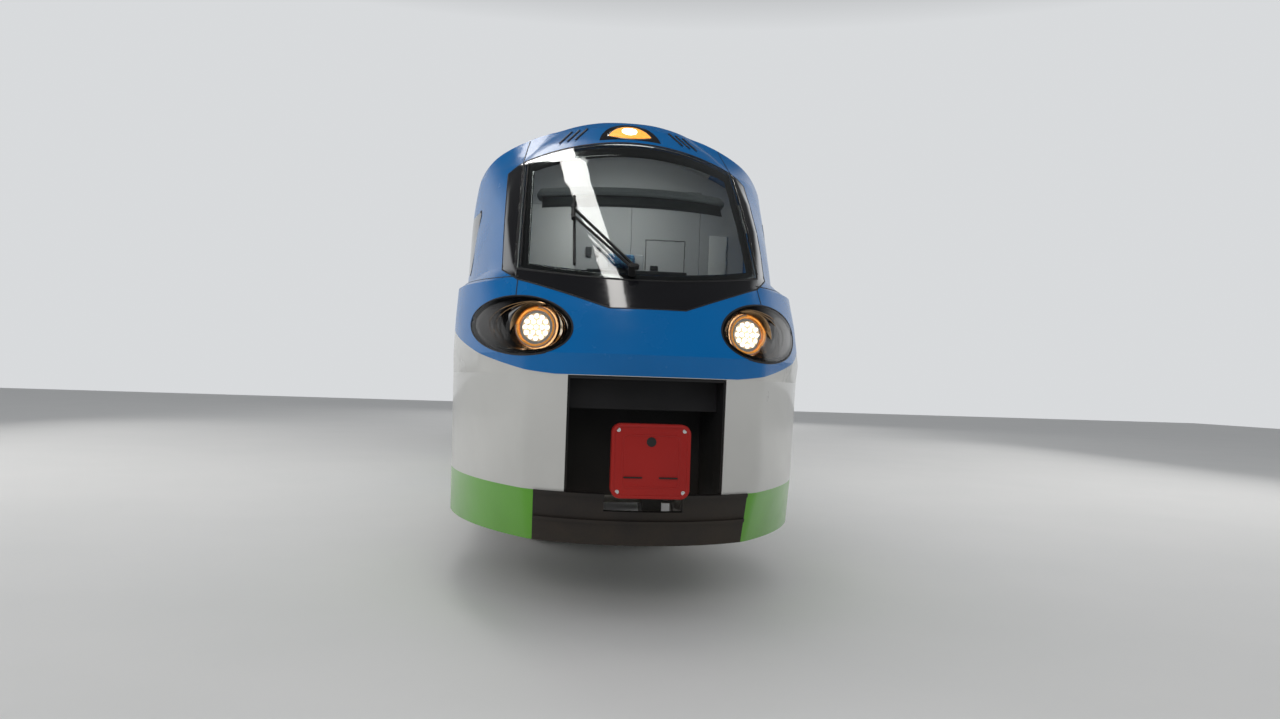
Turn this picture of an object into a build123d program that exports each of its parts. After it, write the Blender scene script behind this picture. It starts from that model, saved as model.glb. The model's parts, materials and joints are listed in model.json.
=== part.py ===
from build123d import *
import os
from functools import cache
from math import ceil, cos, radians, sin, sqrt

# Driving rail car of an electric multiple unit, in millimetres.
# X runs across the car, Y along it with the nose towards -Y, and Z up from the wheels' flange tips.
# Heights in the tables are above the rail top, and lengths are behind the nose tip.

# Overall
BODY_LENGTH = 20400
HALF_WIDTH = 1410
COUPLER_REACH = 150
GANGWAY_REACH = 250
WALL = 80

# Body section: an upright side, then a leaning side, a shoulder and a crown, all tangent arcs
LEAN_HEIGHT = 2600
LEAN_RADIUS = 4200
LEAN_END = 10
SHOULDER_RADIUS = 420
SHOULDER_END = 62
SKIRT_TOP = 820
SKIRT_BOTTOM = 460
SKIRT_TUCK = 60
SKIRT_WALL = 40
CANT_HEIGHT = 3300

# Floors and cab
CAB_LENGTH = 3500
CAB_WALL = 70
CAB_FLOOR = 1500
CAB_FLOOR_START = 450
HIGH_FLOOR = 1150
LOW_FLOOR = 620
FLOOR_DEPTH = 120
LOW_START = 6700
LOW_END = 14860
STEP_TREAD = 280
STEP_COUNT = 3
CEILING_HEIGHT = 3600
CEILING_DEPTH = 40
SOLE_WIDTH = 90

# Running gear
GAUGE_BACK = 1360
WHEEL_RADIUS = 425
FLANGE = 28
WHEEL_WIDTH = 135
AXLE_RADIUS = 85
WHEELBASE = 2500
BOGIE_FRONT = 4700
BOGIE_REAR = 16800
BOGIE_NAMES = ("front", "rear")
BEAM_X = 1000
BEAM_WIDTH = 170
JOURNAL_RADIUS = 65
HUB_RADIUS = 130
POWERED = "front"
MOTOR_REACH = 860
MOTOR_GAP = 160

# Openings in the sides
WINDOW_SILL = 1620
WINDOW_HEAD = 2560
WINDOW_CORNER = 90
DOOR_WIDTH = 1300
DOOR_HEAD = 2590
DOOR_CENTRES = (8100, 13400)
LEAF_THICKNESS = 45
GLASS = 24
FIT = 0.3
MOVE = 5

# Reach of cutters: past the sides and over the roof, in front of the nose, and through one side wall
PAST_SIDE = 2000
PAST_ROOF = 4200
PAST_NOSE = -300
SIDE_CUT = (1000, 1500)
CUT_REACH = 150

# Nose
CREASE = 1720
CHIN = 1580
NOSE_FLARE = 25
NOSE_END = 4300
CORNER_BLEND = 260
SECTION_STEP = 300
# Plan sections: height, front on the centre line, corner across and along, where the side is full.
# The lower rows run from the skirt to the chin, and the front rows from the crease to the shoulder
# beside the mask. The shell rows run from there over the mask to the roof.
LOWER_ROWS = (
    (420, 330, 740, 560, 2300),
    (850, 110, 790, 370, 2250),
    (CHIN, 60, 800, 320, 2150),
)
FRONT_ROWS = (
    (CREASE, 0, 800, 265, 2100),
    (2030, 270, 790, 600, 2150),
    (2280, 540, 890, 985, 2300),
)
SHELL_ROWS = (
    (2400, 680, 940, 1130, 3300),
    (2800, 1130, 1000, 1580, 3450),
    (3400, 1830, 960, 2270, 3600),
    (3640, 2120, 780, 2500, 3750),
    (3800, 2330, 620, 2640, 3900),
    (3900, 2520, 560, 2780, 4000),
    (3990, 2850, 500, 3000, 4100),
)

# Black mask and windscreen, as seen from the front
MASK_HALF = 1043
MASK_CORNER = 3332
MASK_TOP = 3600
MASK_SHOULDER = (917, 3428)
# Lower outline of the mask, from its side to the V's flat apex: across and height
MASK_FOOT = ((1017, 2373), (889, 2274), (256, 2037))
SCREEN_HALF = 905
SCREEN_FOOT = 2252
SCREEN_FOOT_RISE = 112
PANE_GAP = 2

# Headlamps: an oval cover, and behind it a round unit on a bracket plate
LAMP_X = 865
LAMP_Z = 1920
LAMP_HALF_WIDTH = 365
LAMP_HALF_HEIGHT = 210
LAMP_TILT = 7
LAMP_UNIT_RADIUS = 145
LAMP_UNIT_X = 742
LAMP_UNIT_Y = 570
LAMP_UNIT_DROP = 19
LAMP_BOWL_RIM = 18
LAMP_BOWL_DEPTH = 20
LAMP_BACK_Y = 960
LAMP_PLATE = 25

# Top lamp and the slots in the crown
TOP_LAMP_HALF = 270
TOP_LAMP_TOP = 3862
TOP_LAMP_TIP = 3630
TOP_LAMP_GAP = 46
LOUVRE_WIDTH = 24
LOUVRE_DEPTH = 28
LOUVRE_RUN = 125
LOUVRE_RISE = 175
# Lower end of each slot: across and height
LOUVRES = ((620, 3590), (553, 3603), (486, 3616))

# Apron and the coupler's recess
APRON_HALF = 720
APRON_DEPTH = 1400
APRON_LIP = 18
APRON_LIPS = ((612, 636), (794, 818))
SKIRT_CUT = 700
RECESS_HALF = 520
RECESS_DEPTH = 1100
RECESS_LOW = 700
LINER = 15
NOTCH_HALF = 260

# Side windows: first edge and width along the side
WINDOWS = (
    (4150, 2500),
    (8950, 1750),
    (10800, 1750),
    (15050, 1650),
    (16850, 1650),
    (18650, 1300),
)
GLASS_SINK = 4
CAB_WINDOW_START = 2500
CAB_WINDOW_LENGTH = 750
CAB_WINDOW_SILL = 2470
CAB_WINDOW_HEIGHT = 560
CAB_WINDOW = (
    CAB_WINDOW_START, CAB_WINDOW_START + CAB_WINDOW_LENGTH,
    CAB_WINDOW_SILL, CAB_WINDOW_SILL + CAB_WINDOW_HEIGHT,
)

# Plug doors
DOOR_PANE_SIDE = 110
DOOR_PANE_SILL = 330
DOOR_PANE_HEAD = 200
DOOR_PANE_SINK = 6

# Gangway
GANGWAY_HALF = 650
GANGWAY_HEAD = 3250
BELLOWS_WALL = 110
BELLOWS_FOLDS = 4
BELLOWS_STEP = 20

# Sills and centre pivots
SILL_DEPTH = 30
SILL_LAP = 40
PIVOT_RADIUS = 140
PIVOT_BOTTOM = 540

# Wall and door behind the driver
CAB_DOOR_X = 150
CAB_DOOR_WIDTH = 700
CAB_DOOR_HEAD = 3480
BULKHEAD = 60
CAB_DOOR_SET_BACK = 8
HINGE_RADIUS = 12
HINGE_LENGTH = 120
HINGE_LEAF = 50
HINGE_HEIGHTS = (CAB_FLOOR + 300, CAB_DOOR_HEAD - 300)

# Driver's desk
DESK_TOP = 2260
DESK_FRONT = 1050
DESK_DEPTH = 650
DESK_HALF = 930
DESK_WING = 300
DESK_WING_WIDTH = 320
DESK_HOLLOW = 80
DESK_SLAB = 90
KNEE_HALF = 380
KNEE_START = 180
HOOD_RISE = 130
HOOD_HALF = 380
HOOD_BLEND = 25

# Driver's seat
SEAT_BASE_Y = 2450
SEAT_BASE_RADIUS = 170
SEAT_BASE_HEIGHT = 380
CUSHION_HALF = 250
CUSHION_TOP = 500
BACK_HALF = 230
BACK_TOP = 1250

# Passenger seats: place along the car, floor height and facing (1 looks forward, -1 back)
SEAT_ROWS = (
    (4300, 1150, -1), (6050, 1150, 1),
    (8950, 620, -1), (10720, 620, 1), (10840, 620, -1), (12610, 620, 1),
    (15500, 1150, -1), (17200, 1150, 1), (17320, 1150, -1), (19050, 1150, 1),
)
SEAT_INNER = 390
SEAT_OUTER = 1290
SEAT_FOOT = 370
SEAT_BLEND = 35
# Side outline: distance in front of the seat's back, and height over the floor
SEAT_PROFILE = ((0, SEAT_FOOT), (470, SEAT_FOOT), (480, 460), (110, 450), (90, 1180), (10, 1200))
PEDESTAL_SPAN = (90, 330)
PEDESTAL_INSET = 300

# Luggage shelves over the seats: start, end and height
RACKS = (
    (3900, 4780, 3000), (5570, 6600, 3000),
    (8900, 9430, 2700), (10240, 11320, 2700), (12130, 12650, 2700),
    (15050, 15980, 3000), (16720, 17800, 3000), (18570, 20000, 3000),
)
RACK_INNER = 1000
RACK_THICK = 26
RACK_BRACKET = 12
RACK_BRACKET_INSET = 60
RACK_BRACKET_DROP = 110
RACK_END_GAP = 120

# Grab poles
POLE_X = 420
POLE_RADIUS = 17
POLE_GAP = 120

# Coupler, its cover and its beam
COUPLER_Z = 1060
HEAD_HALF = 190
HEAD_RISE = 170
HEAD_BACK = 120
HEAD_CORNER = 50
SHANK_RADIUS = 90
SHANK_HOLE = 130
POCKET_HALF = 260
POCKET_DEPTH = 200
COVER_HALF = 245
COVER_RISE = 230
COVER_CORNER = 60
COVER_BACK = 60
STEM_HALF = 150
STEM_RISE = 60
CROSSBAR_HALF = 600
CROSSBAR_RISE = 120
CROSSBAR_SPAN = (300, 500)

# Rear drawbar: its foot under the floor and its eye behind the wall
DRAWBAR_LOW = 850
DRAWBAR_DEPTH = 160
DRAWBAR_HALF = 110
DRAWBAR_REACH = 200
DRAWBAR_FOOT_HALF = 160
DRAWBAR_FOOT_SPAN = (700, 300)
DRAWBAR_BORE = 35

# Brake discs and axle boxes
DISC_X = 300
DISC_WIDTH = 55
DISC_RADIUS = 310
BOX_HALF = 150
BOX_REACH = 130
BOX_PROUD = 15
BOX_CAP_RADIUS = 105
BOX_CAP_DEPTH = 25
SPRING_RADIUS = 100
SPRING_BULGE = 110
SPRING_WAIST = 88

# Bogie frame: its swan-necked beams, transoms and pivot bush
FRAME_SEAT = 620
FRAME_DROP = 480
FRAME_TOP = 780
FRAME_KNEE = 260
FRAME_LOW_HALF = 550
FRAME_SADDLE_HALF = 480
FRAME_CHOP = 60
FRAME_BLEND = 60
TRANSOM = 90
TRANSOM_REACH = 300
BUSH_HALF = 220

# Air springs
AIR_SEAT = 680
AIR_RADIUS = 260
AIR_INSET = 60

# Motors, from below to above the axle's height, and gear cases
MOTOR_HALF = 330
MOTOR_LOW = 60
MOTOR_HIGH = 330
MOTOR_CHOP = 70
GEAR_X = (330, 520)
GEAR_REACH = 160
GEAR_RISE = 190
GEAR_CORNER = 90

# Roof equipment: start and end along the car, half width, and height over the crown
CONDITIONER = (5200, 8200, 800, 360)
ROOF_BOXES = (
    (9200, 12400, 780, 330),
    (13200, 16000, 780, 330),
)
ROOF_SINK = 140
ROOF_CHOP = 90
FAN_CENTRES = (0.3, 0.7)
FAN_RADIUS = 330
FAN_DEPTH = 60
FAIRING = (4700, 19200)
FAIRING_X = 930
FAIRING_WALL = 50
FAIRING_RISE = 250
FAIRING_RAMP = 500

# Wiper: across and height of its spindle and of the blade's joint
WIPER_PIVOT = (-93, 2290)
WIPER_JOINT = (-482, 2740)
BLADE_FOOT = 2350
BLADE_HEAD = 2970
ARM_RADIUS = 11
ARM_GAP = 70
ARM_LIFT = 60
BLADE_LIFT = 22
SPINDLE_RADIUS = 26


def along(y):
    """Place along the car of a point y behind the nose tip."""
    return COUPLER_REACH - (COUPLER_REACH + BODY_LENGTH + GANGWAY_REACH) / 2 + y


def up(z):
    """Height above the flange tips of a point z above the rail top."""
    return FLANGE + z


def block(x0, x1, y0, y1, z0, z1):
    """Box between two corners, in table lengths and heights."""
    box = Box(x1 - x0, y1 - y0, z1 - z0, align=(Align.MIN, Align.MIN, Align.MIN))
    return Pos(x0, along(y0), up(z0)) * box


def mirrored(solid):
    return mirror(solid, about=Plane.YZ)


def both(solid):
    """The solid and its mirror image on the other side of the car."""
    return [solid, mirrored(solid)]


def save(name, *solids):
    """Write one node from its solids, which don't touch unless they are flat on each other."""
    pieces = []
    for solid in solids:
        pieces += solid if isinstance(solid, list) else [solid]
    loose = []
    for piece in pieces:
        loose += list(piece.solids())
    export_step(Compound(children=loose) if len(loose) > 1 else loose[0], f"parts/{name}.step")


def face_of(edges):
    return make_face(Wire(edges))


def across(points, x0, x1, blend=0, blended=()):
    """Side outline (y, z) drawn out across the car from x0 to x1, with the numbered corners blended."""
    spots = [(0, along(y), up(z)) for y, z in points]
    face = make_face(Polyline(spots, close=True))
    if blend:
        marks = [Vector(*spots[i]) for i in blended]
        face = fillet([v for v in face.vertices() if any((Vector(v) - m).length < 1 for m in marks)], blend)
    return Pos(x0, 0, 0) * extrude(face, amount=x1 - x0, dir=(1, 0, 0))


def section_arcs(inset):
    """Corner and middle points of the body section's right half, inset inside its skin."""
    side_centre = (HALF_WIDTH - LEAN_RADIUS, LEAN_HEIGHT)
    a1, a2 = radians(LEAN_END), radians(SHOULDER_END)
    step = LEAN_RADIUS - SHOULDER_RADIUS
    shoulder_centre = (side_centre[0] + step * cos(a1), side_centre[1] + step * sin(a1))
    crown_radius = (shoulder_centre[0] + SHOULDER_RADIUS * cos(a2)) / cos(a2)
    crown_drop = (crown_radius - SHOULDER_RADIUS) * sin(a2)
    crown_centre = (0, shoulder_centre[1] - crown_drop)

    def on(centre, radius, angle):
        return (centre[0] + (radius - inset) * cos(angle), centre[1] + (radius - inset) * sin(angle))

    return {
        "lean_start": on(side_centre, LEAN_RADIUS, 0),
        "lean_mid": on(side_centre, LEAN_RADIUS, a1 / 2),
        "lean_end": on(side_centre, LEAN_RADIUS, a1),
        "shoulder_mid": on(shoulder_centre, SHOULDER_RADIUS, (a1 + a2) / 2),
        "shoulder_end": on(shoulder_centre, SHOULDER_RADIUS, a2),
        "crown": on(crown_centre, crown_radius, radians(90)),
    }


def section_prism(inset, y0, y1, z_low=0):
    """Solid with the body's outline, inset inside its skin, from y0 to y1."""
    p = section_arcs(inset)
    y = along(y0)

    def right(key):
        return (p[key][0], y, up(p[key][1]))

    def left(key):
        return (-p[key][0], y, up(p[key][1]))

    foot = (HALF_WIDTH - inset, y, up(z_low))
    foot_left = (inset - HALF_WIDTH, y, up(z_low))
    edges = [
        Line(foot, right("lean_start")),
        ThreePointArc(right("lean_start"), right("lean_mid"), right("lean_end")),
        ThreePointArc(right("lean_end"), right("shoulder_mid"), right("shoulder_end")),
        ThreePointArc(right("shoulder_end"), right("crown"), left("shoulder_end")),
        ThreePointArc(left("shoulder_end"), left("shoulder_mid"), left("lean_end")),
        ThreePointArc(left("lean_end"), left("lean_mid"), left("lean_start")),
        Line(left("lean_start"), foot_left),
        Line(foot_left, foot),
    ]
    return extrude(face_of(edges), amount=y1 - y0, dir=(0, 1, 0))


def smooth(rows):
    """The rows with cubic in-between rows, at most SECTION_STEP apart in height."""
    slopes = []
    for i in range(len(rows)):
        low, high = rows[max(i - 1, 0)], rows[min(i + 1, len(rows) - 1)]
        slopes.append([(b - a) / (high[0] - low[0]) for a, b in zip(low, high)])
    result = [rows[0]]
    for i in range(len(rows) - 1):
        span = rows[i + 1][0] - rows[i][0]
        count = ceil(span / SECTION_STEP)
        for k in range(1, count + 1):
            t = k / count
            ease = 3 * t**2 - 2 * t**3
            leave, reach = span * (t**3 - 2 * t**2 + t), span * (t**3 - t**2)
            pairs = zip(rows[i], rows[i + 1], slopes[i], slopes[i + 1])
            result.append([a + ease * (b - a) + leave * m + reach * n for a, b, m, n in pairs])
    return result


NOSE_SECTIONS = [*LOWER_ROWS, *smooth(FRONT_ROWS), *smooth(SHELL_ROWS)]


def plan_section(row, inset):
    """Plan outline of the nose at one height: front arc, blended corners, sides and a flat back."""
    z, y_front, x_corner, y_corner, y_side = row
    x_side = HALF_WIDTH + NOSE_FLARE - inset
    front = (0, along(y_front + inset), up(z))
    corner = (x_corner - 0.6 * inset, along(y_corner + 0.8 * inset), up(z))
    side = (x_side, along(y_side), up(z))
    back = (x_side, along(NOSE_END), up(z))

    def flip(p):
        return (-p[0], p[1], p[2])

    side_arc = TangentArc(side, corner, tangent=(-0.03, -1, 0))
    middle = side_arc @ 0.5
    middle = (middle.X, middle.Y, middle.Z)
    edges = [
        ThreePointArc(flip(corner), front, corner),
        ThreePointArc(corner, middle, side),
        Line(side, back),
        Line(back, flip(back)),
        Line(flip(back), flip(side)),
        ThreePointArc(flip(side), flip(middle), flip(corner)),
    ]
    face = face_of(edges)
    corners = [v for v in face.vertices() if abs(v.Y - corner[1]) < 1]
    return fillet(corners, CORNER_BLEND)


@cache
def nose_solid(inset, reach=0):
    """The cab end of the car, inset inside its skin; reach takes a cutter past the real ends."""
    loft_body = loft([plan_section(row, inset) for row in NOSE_SECTIONS], ruled=True)
    return loft_body & section_prism(inset, -200, CAB_LENGTH + reach, z_low=NOSE_SECTIONS[0][0] - reach)


def skin_y(x, z):
    """How far behind the nose tip the front's skin lies at a place across and a height."""
    for low, high in zip(NOSE_SECTIONS, NOSE_SECTIONS[1:]):
        if low[0] <= z <= high[0]:
            share = (z - low[0]) / (high[0] - low[0])
            y_front, x_corner, y_corner = (low[i] + share * (high[i] - low[i]) for i in (1, 2, 3))
            sag = y_corner - y_front
            radius = (x_corner**2 + sag**2) / (2 * sag)
            return y_front + radius - sqrt(radius**2 - x**2)
    return 0


def skin_normal(x, z):
    """Outward direction of the front's skin."""
    step = 10
    along_x = Vector(2 * step, skin_y(x + step, z) - skin_y(x - step, z), 0)
    along_z = Vector(0, skin_y(x, z + step) - skin_y(x, z - step), 2 * step)
    return along_x.cross(along_z).normalized()


def skin_point(x, z, lift=0):
    """Point on the front's skin, or lifted off it."""
    return Vector(x, along(skin_y(x, z)), up(z)) + skin_normal(x, z) * lift


def front_prism(edges, y0, y1):
    """Front-view outline, drawn at the coupler face, taken back from y0 to y1."""
    return Pos(0, along(y0), 0) * extrude(face_of(edges), amount=y1 - y0, dir=(0, 1, 0))


def flat(x, z):
    return (x, 0, up(z))


def mask_prism(shrink=0.0):
    """Black mask round the windscreen and the V-shaped panel below it."""
    shoulder = [c - shrink for c in MASK_SHOULDER]
    right = [shoulder, (MASK_HALF - shrink, MASK_CORNER - shrink)]
    right += [(x - shrink, z + shrink) for x, z in MASK_FOOT]
    spots = [flat(x, z) for x, z in right] + [flat(-x, z) for x, z in reversed(right)]
    arch = ThreePointArc(spots[-1], flat(0, MASK_TOP - shrink), spots[0])
    edges = [Line(a, b) for a, b in zip(spots, spots[1:])]
    return front_prism([*edges, arch], -CUT_REACH, CAB_LENGTH - 300)


def lamp_prism(shrink=0.0):
    """Oval headlamp opening on the right-hand corner, as seen from the front."""
    outline = Ellipse(LAMP_HALF_WIDTH - shrink, LAMP_HALF_HEIGHT - shrink, rotation=LAMP_TILT)
    plane = Plane(origin=(LAMP_X, along(-100), up(LAMP_Z)), x_dir=(1, 0, 0), z_dir=(0, -1, 0))
    return extrude(plane * outline, amount=-1800)


def top_lamp_prism(shrink=0.0):
    """Eye-shaped lamp opening above the windscreen."""
    half, tip = TOP_LAMP_HALF - 2 * shrink, TOP_LAMP_TIP + shrink / 2
    edges = [
        ThreePointArc(flat(-half, tip), flat(0, TOP_LAMP_TOP - shrink), flat(half, tip)),
        ThreePointArc(flat(half, tip), flat(0, MASK_TOP + TOP_LAMP_GAP + shrink), flat(-half, tip)),
    ]
    return front_prism(edges, 1500, 2900)


def pane_prism(y0, y1, z0, z1, x0, x1, shrink=0.0, corner=WINDOW_CORNER):
    """Rounded rectangle in a side wall, drawn out across it."""
    outline = RectangleRounded(y1 - y0 - 2 * shrink, z1 - z0 - 2 * shrink, corner)
    plane = Plane(origin=(x0, along((y0 + y1) / 2), up((z0 + z1) / 2)), x_dir=(0, 1, 0), z_dir=(1, 0, 0))
    return extrude(plane * outline, amount=x1 - x0)


def below_screen(gap=0.0):
    """Everything under the curved foot of the windscreen."""
    wide = PAST_SIDE
    foot, side = SCREEN_FOOT - gap, SCREEN_FOOT + SCREEN_FOOT_RISE - gap
    edges = [
        ThreePointArc(flat(-SCREEN_HALF, side), flat(0, foot), flat(SCREEN_HALF, side)),
        Line(flat(SCREEN_HALF, side), flat(wide, side)),
        Line(flat(wide, side), flat(wide, 0)),
        Line(flat(wide, 0), flat(-wide, 0)),
        Line(flat(-wide, 0), flat(-wide, side)),
        Line(flat(-wide, side), flat(-SCREEN_HALF, side)),
    ]
    return front_prism(edges, PAST_NOSE, CAB_LENGTH)


def louvre_prism(x, z):
    """One slanted slot, seen from the front, leaning towards the middle of the crown."""
    step = LOUVRE_WIDTH * 0.7
    corners = [(x, z), (x - step, z + step)]
    corners += [(a - LOUVRE_RUN, b + LOUVRE_RISE) for a, b in reversed(corners)]
    spots = [flat(a, b) for a, b in corners]
    return front_prism([Line(a, b) for a, b in zip(spots, spots[1:] + spots[:1])], 1200, 2900)


def apron_zone(z0, z1):
    return block(-APRON_HALF, APRON_HALF, PAST_NOSE, APRON_DEPTH, z0, z1)


def make_apron():
    """Black apron with two lips, and the lined recess for the coupler behind it."""
    outer, inner = nose_solid(0), nose_solid(CAB_WALL, CUT_REACH)
    notch = block(-NOTCH_HALF, NOTCH_HALF, PAST_NOSE, APRON_DEPTH, RECESS_LOW, SKIRT_TOP)
    apron = (outer & apron_zone(SKIRT_BOTTOM, SKIRT_TOP)) - inner
    proud = nose_solid(-APRON_LIP) - inner
    for z0, z1 in APRON_LIPS:
        apron += proud & apron_zone(z0, z1)
    roof, step = CAB_FLOOR - FLOOR_DEPTH - MOVE, CAB_FLOOR_START - MOVE
    outline = [
        (PAST_NOSE, RECESS_LOW), (RECESS_DEPTH, RECESS_LOW), (RECESS_DEPTH, roof),
        (step, roof), (step, CHIN - MOVE), (PAST_NOSE, CHIN - MOVE),
    ]
    back, roof, step, sill = RECESS_DEPTH - LINER, roof - LINER, step - LINER, CHIN - MOVE - LINER
    low, front = RECESS_LOW - 100, PAST_NOSE - 100
    inside = [(front, low), (back, low), (back, roof), (step, roof), (step, sill), (front, sill)]
    liner = across(outline, -RECESS_HALF, RECESS_HALF)
    liner -= across(inside, LINER - RECESS_HALF, RECESS_HALF - LINER)
    liner -= block(-SHANK_HOLE, SHANK_HOLE, RECESS_DEPTH - 100, RECESS_DEPTH + 100,
                   COUPLER_Z - SHANK_HOLE, COUPLER_Z + SHANK_HOLE)
    save("front_apron", (apron - notch) + (liner & nose_solid(LINER)))


def make_cab():
    """Cab shell and nose panel, and the panes and covers that fill their openings."""
    outer = nose_solid(0)
    inner = nose_solid(CAB_WALL, CUT_REACH)
    under_glass = nose_solid(GLASS, CUT_REACH)
    under_panel = nose_solid(2 * GLASS, CUT_REACH)

    def zone(x0, x1, z0, z1, y1=CAB_LENGTH):
        return block(x0, x1, PAST_NOSE, y1, z0, z1)

    upper = (outer & zone(-PAST_SIDE, PAST_SIDE, CHIN, PAST_ROOF)) - inner - mask_prism()
    cab_window = pane_prism(*CAB_WINDOW, *SIDE_CUT)
    for cutter in both(lamp_prism()) + both(cab_window) + [top_lamp_prism()]:
        upper -= cutter
    slot_floor = nose_solid(LOUVRE_DEPTH)
    for x, z in LOUVRES:
        for slot in both(louvre_prism(x, z) - slot_floor):
            upper -= slot
    save("cab_shell", upper)

    recess = zone(-RECESS_HALF, RECESS_HALF, 0, CHIN, RECESS_DEPTH + 100)
    save("nose_panel", (outer & zone(-PAST_SIDE, PAST_SIDE, SKIRT_TOP, CHIN)) - inner - recess)
    skirts = outer & zone(-PAST_SIDE, PAST_SIDE, SKIRT_BOTTOM, SKIRT_TOP, CAB_LENGTH - SKIRT_CUT)
    save("nose_skirts", skirts - inner - apron_zone(SKIRT_BOTTOM, SKIRT_TOP))

    opening = mask_prism(FIT)
    centre = zone(-SCREEN_HALF, SCREEN_HALF, 0, PAST_ROOF)
    screen = (opening & centre) - below_screen()
    quarter = opening & zone(SCREEN_HALF + PANE_GAP, PAST_SIDE, 0, PAST_ROOF)
    panel = opening & centre & below_screen(PANE_GAP)
    save("windscreen", (outer & screen) - under_glass)
    save("quarter_glass", both((outer & quarter) - under_glass))
    save("mask_panel", (outer & panel) - under_panel)
    save("headlamp_covers", both((outer & lamp_prism(FIT)) - under_glass))
    save("top_lamp", (outer & top_lamp_prism(FIT)) - under_panel)
    window = pane_prism(*CAB_WINDOW, *SIDE_CUT, FIT)
    save("cab_side_glass", both((outer & window) - under_glass))


def make_headlamps():
    """Black housing under each lamp cover, and the round lamp unit that stands on its back."""
    spot = (LAMP_UNIT_X, along(LAMP_UNIT_Y), up(LAMP_Z - LAMP_UNIT_DROP))
    plane = Plane(origin=spot, x_dir=(1, 0.3, 0), z_dir=(0.3, -1, 0.1))
    back = Plane(origin=(LAMP_X, along(LAMP_BACK_Y), up(LAMP_Z)), x_dir=(1, 0.8, 0), z_dir=(0.8, -1, 0))
    before = extrude(back * Rectangle(3000, 3000), amount=3000)
    before_plate = extrude(Pos(back.z_dir * LAMP_PLATE) * back * Rectangle(3000, 3000), amount=3000)
    behind_cover = nose_solid(GLASS + FIT)
    housing = (lamp_prism(FIT) & behind_cover) & before
    housing -= lamp_prism(LAMP_PLATE) & before_plate
    unit = extrude(plane * Circle(LAMP_UNIT_RADIUS), amount=-1000) & before_plate
    unit = unit & lamp_prism(LAMP_PLATE + FIT) & behind_cover
    bowl = extrude(plane * Circle(LAMP_UNIT_RADIUS - LAMP_BOWL_RIM), amount=-LAMP_BOWL_DEPTH)
    save("headlamp_housings", both(housing))
    save("headlamps", both(unit - bowl))


def doorways():
    """Doorway spans along the side, one for each pair of door leaves."""
    return [(centre - DOOR_WIDTH / 2, centre + DOOR_WIDTH / 2) for centre in DOOR_CENTRES]


def skirt_prism(inset, y0, y1):
    """Lower side of the body: upright, then tucked under in one arc."""
    x_top = HALF_WIDTH - inset
    x_low = x_top - SKIRT_TUCK
    bend = SKIRT_BOTTOM + 160
    y = along(y0)
    edges = [
        Line((0, y, up(SKIRT_TOP)), (x_top, y, up(SKIRT_TOP))),
        Line((x_top, y, up(SKIRT_TOP)), (x_top, y, up(bend))),
        ThreePointArc(
            (x_top, y, up(bend)),
            (x_top - SKIRT_TUCK * 0.27, y, up((bend + SKIRT_BOTTOM) / 2)),
            (x_low, y, up(SKIRT_BOTTOM)),
        ),
        Line((x_low, y, up(SKIRT_BOTTOM)), (0, y, up(SKIRT_BOTTOM))),
        Line((0, y, up(SKIRT_BOTTOM)), (0, y, up(SKIRT_TOP))),
    ]
    return extrude(face_of(edges), amount=y1 - y0, dir=(0, 1, 0))


def make_body():
    """Walls, skirts, roof and rear wall of the body behind the cab."""
    ring = section_prism(0, CAB_LENGTH, BODY_LENGTH) - section_prism(WALL, CAB_LENGTH, BODY_LENGTH)
    wall = ring & block(0, PAST_SIDE, CAB_LENGTH, BODY_LENGTH, SKIRT_TOP, CANT_HEIGHT)
    glass = []
    for start, width in WINDOWS:
        pane = (start, start + width, WINDOW_SILL, WINDOW_HEAD)
        wall -= pane_prism(*pane, *SIDE_CUT)
        glass.append(pane_prism(*pane, HALF_WIDTH - GLASS - GLASS_SINK, HALF_WIDTH - GLASS_SINK, FIT))
    skirt = skirt_prism(0, CAB_LENGTH, BODY_LENGTH) - skirt_prism(SKIRT_WALL, CAB_LENGTH, BODY_LENGTH)
    skirt &= block(SIDE_CUT[0] - 100, PAST_SIDE, CAB_LENGTH, BODY_LENGTH, SKIRT_BOTTOM, SKIRT_TOP)
    for start, end in doorways():
        doorway = block(*SIDE_CUT, start, end, LOW_FLOOR, DOOR_HEAD)
        wall -= doorway
        skirt -= doorway
    for centre in (BOGIE_FRONT, BOGIE_REAR):
        reach = WHEELBASE / 2 + WHEEL_RADIUS
        skirt -= block(*SIDE_CUT, centre - reach, centre + reach, 0, SKIRT_TOP - 100)
    save("side_wall_right", wall)
    save("side_wall_left", mirrored(wall))
    save("side_glass", glass + [mirrored(pane) for pane in glass])
    save("side_skirts", both(skirt))
    over_cant = block(-PAST_SIDE, PAST_SIDE, CAB_LENGTH, BODY_LENGTH, CANT_HEIGHT, PAST_ROOF)
    save("roof_shell", ring & over_cant)

    rear = section_prism(WALL, BODY_LENGTH - WALL, BODY_LENGTH, z_low=HIGH_FLOOR)
    rear -= block(-GANGWAY_HALF, GANGWAY_HALF, BODY_LENGTH - 200, BODY_LENGTH + 10, HIGH_FLOOR, GANGWAY_HEAD)
    save("rear_end_wall", rear)


def make_gangway():
    """Folded bellows round the rear doorway, open right through."""
    y0 = BODY_LENGTH
    fold = GANGWAY_REACH / BELLOWS_FOLDS
    ring = None
    for i in range(BELLOWS_FOLDS):
        step = BELLOWS_STEP if i % 2 else 0
        half = GANGWAY_HALF + BELLOWS_WALL - step
        piece = block(-half, half, y0 + i * fold, y0 + (i + 1) * fold,
                      HIGH_FLOOR - BELLOWS_WALL + step, GANGWAY_HEAD + BELLOWS_WALL - step)
        ring = piece if ring is None else ring + piece
    ring -= block(-GANGWAY_HALF, GANGWAY_HALF, y0 - 10, y0 + GANGWAY_REACH + 10, HIGH_FLOOR, GANGWAY_HEAD)
    save("gangway_bellows", ring)


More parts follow.
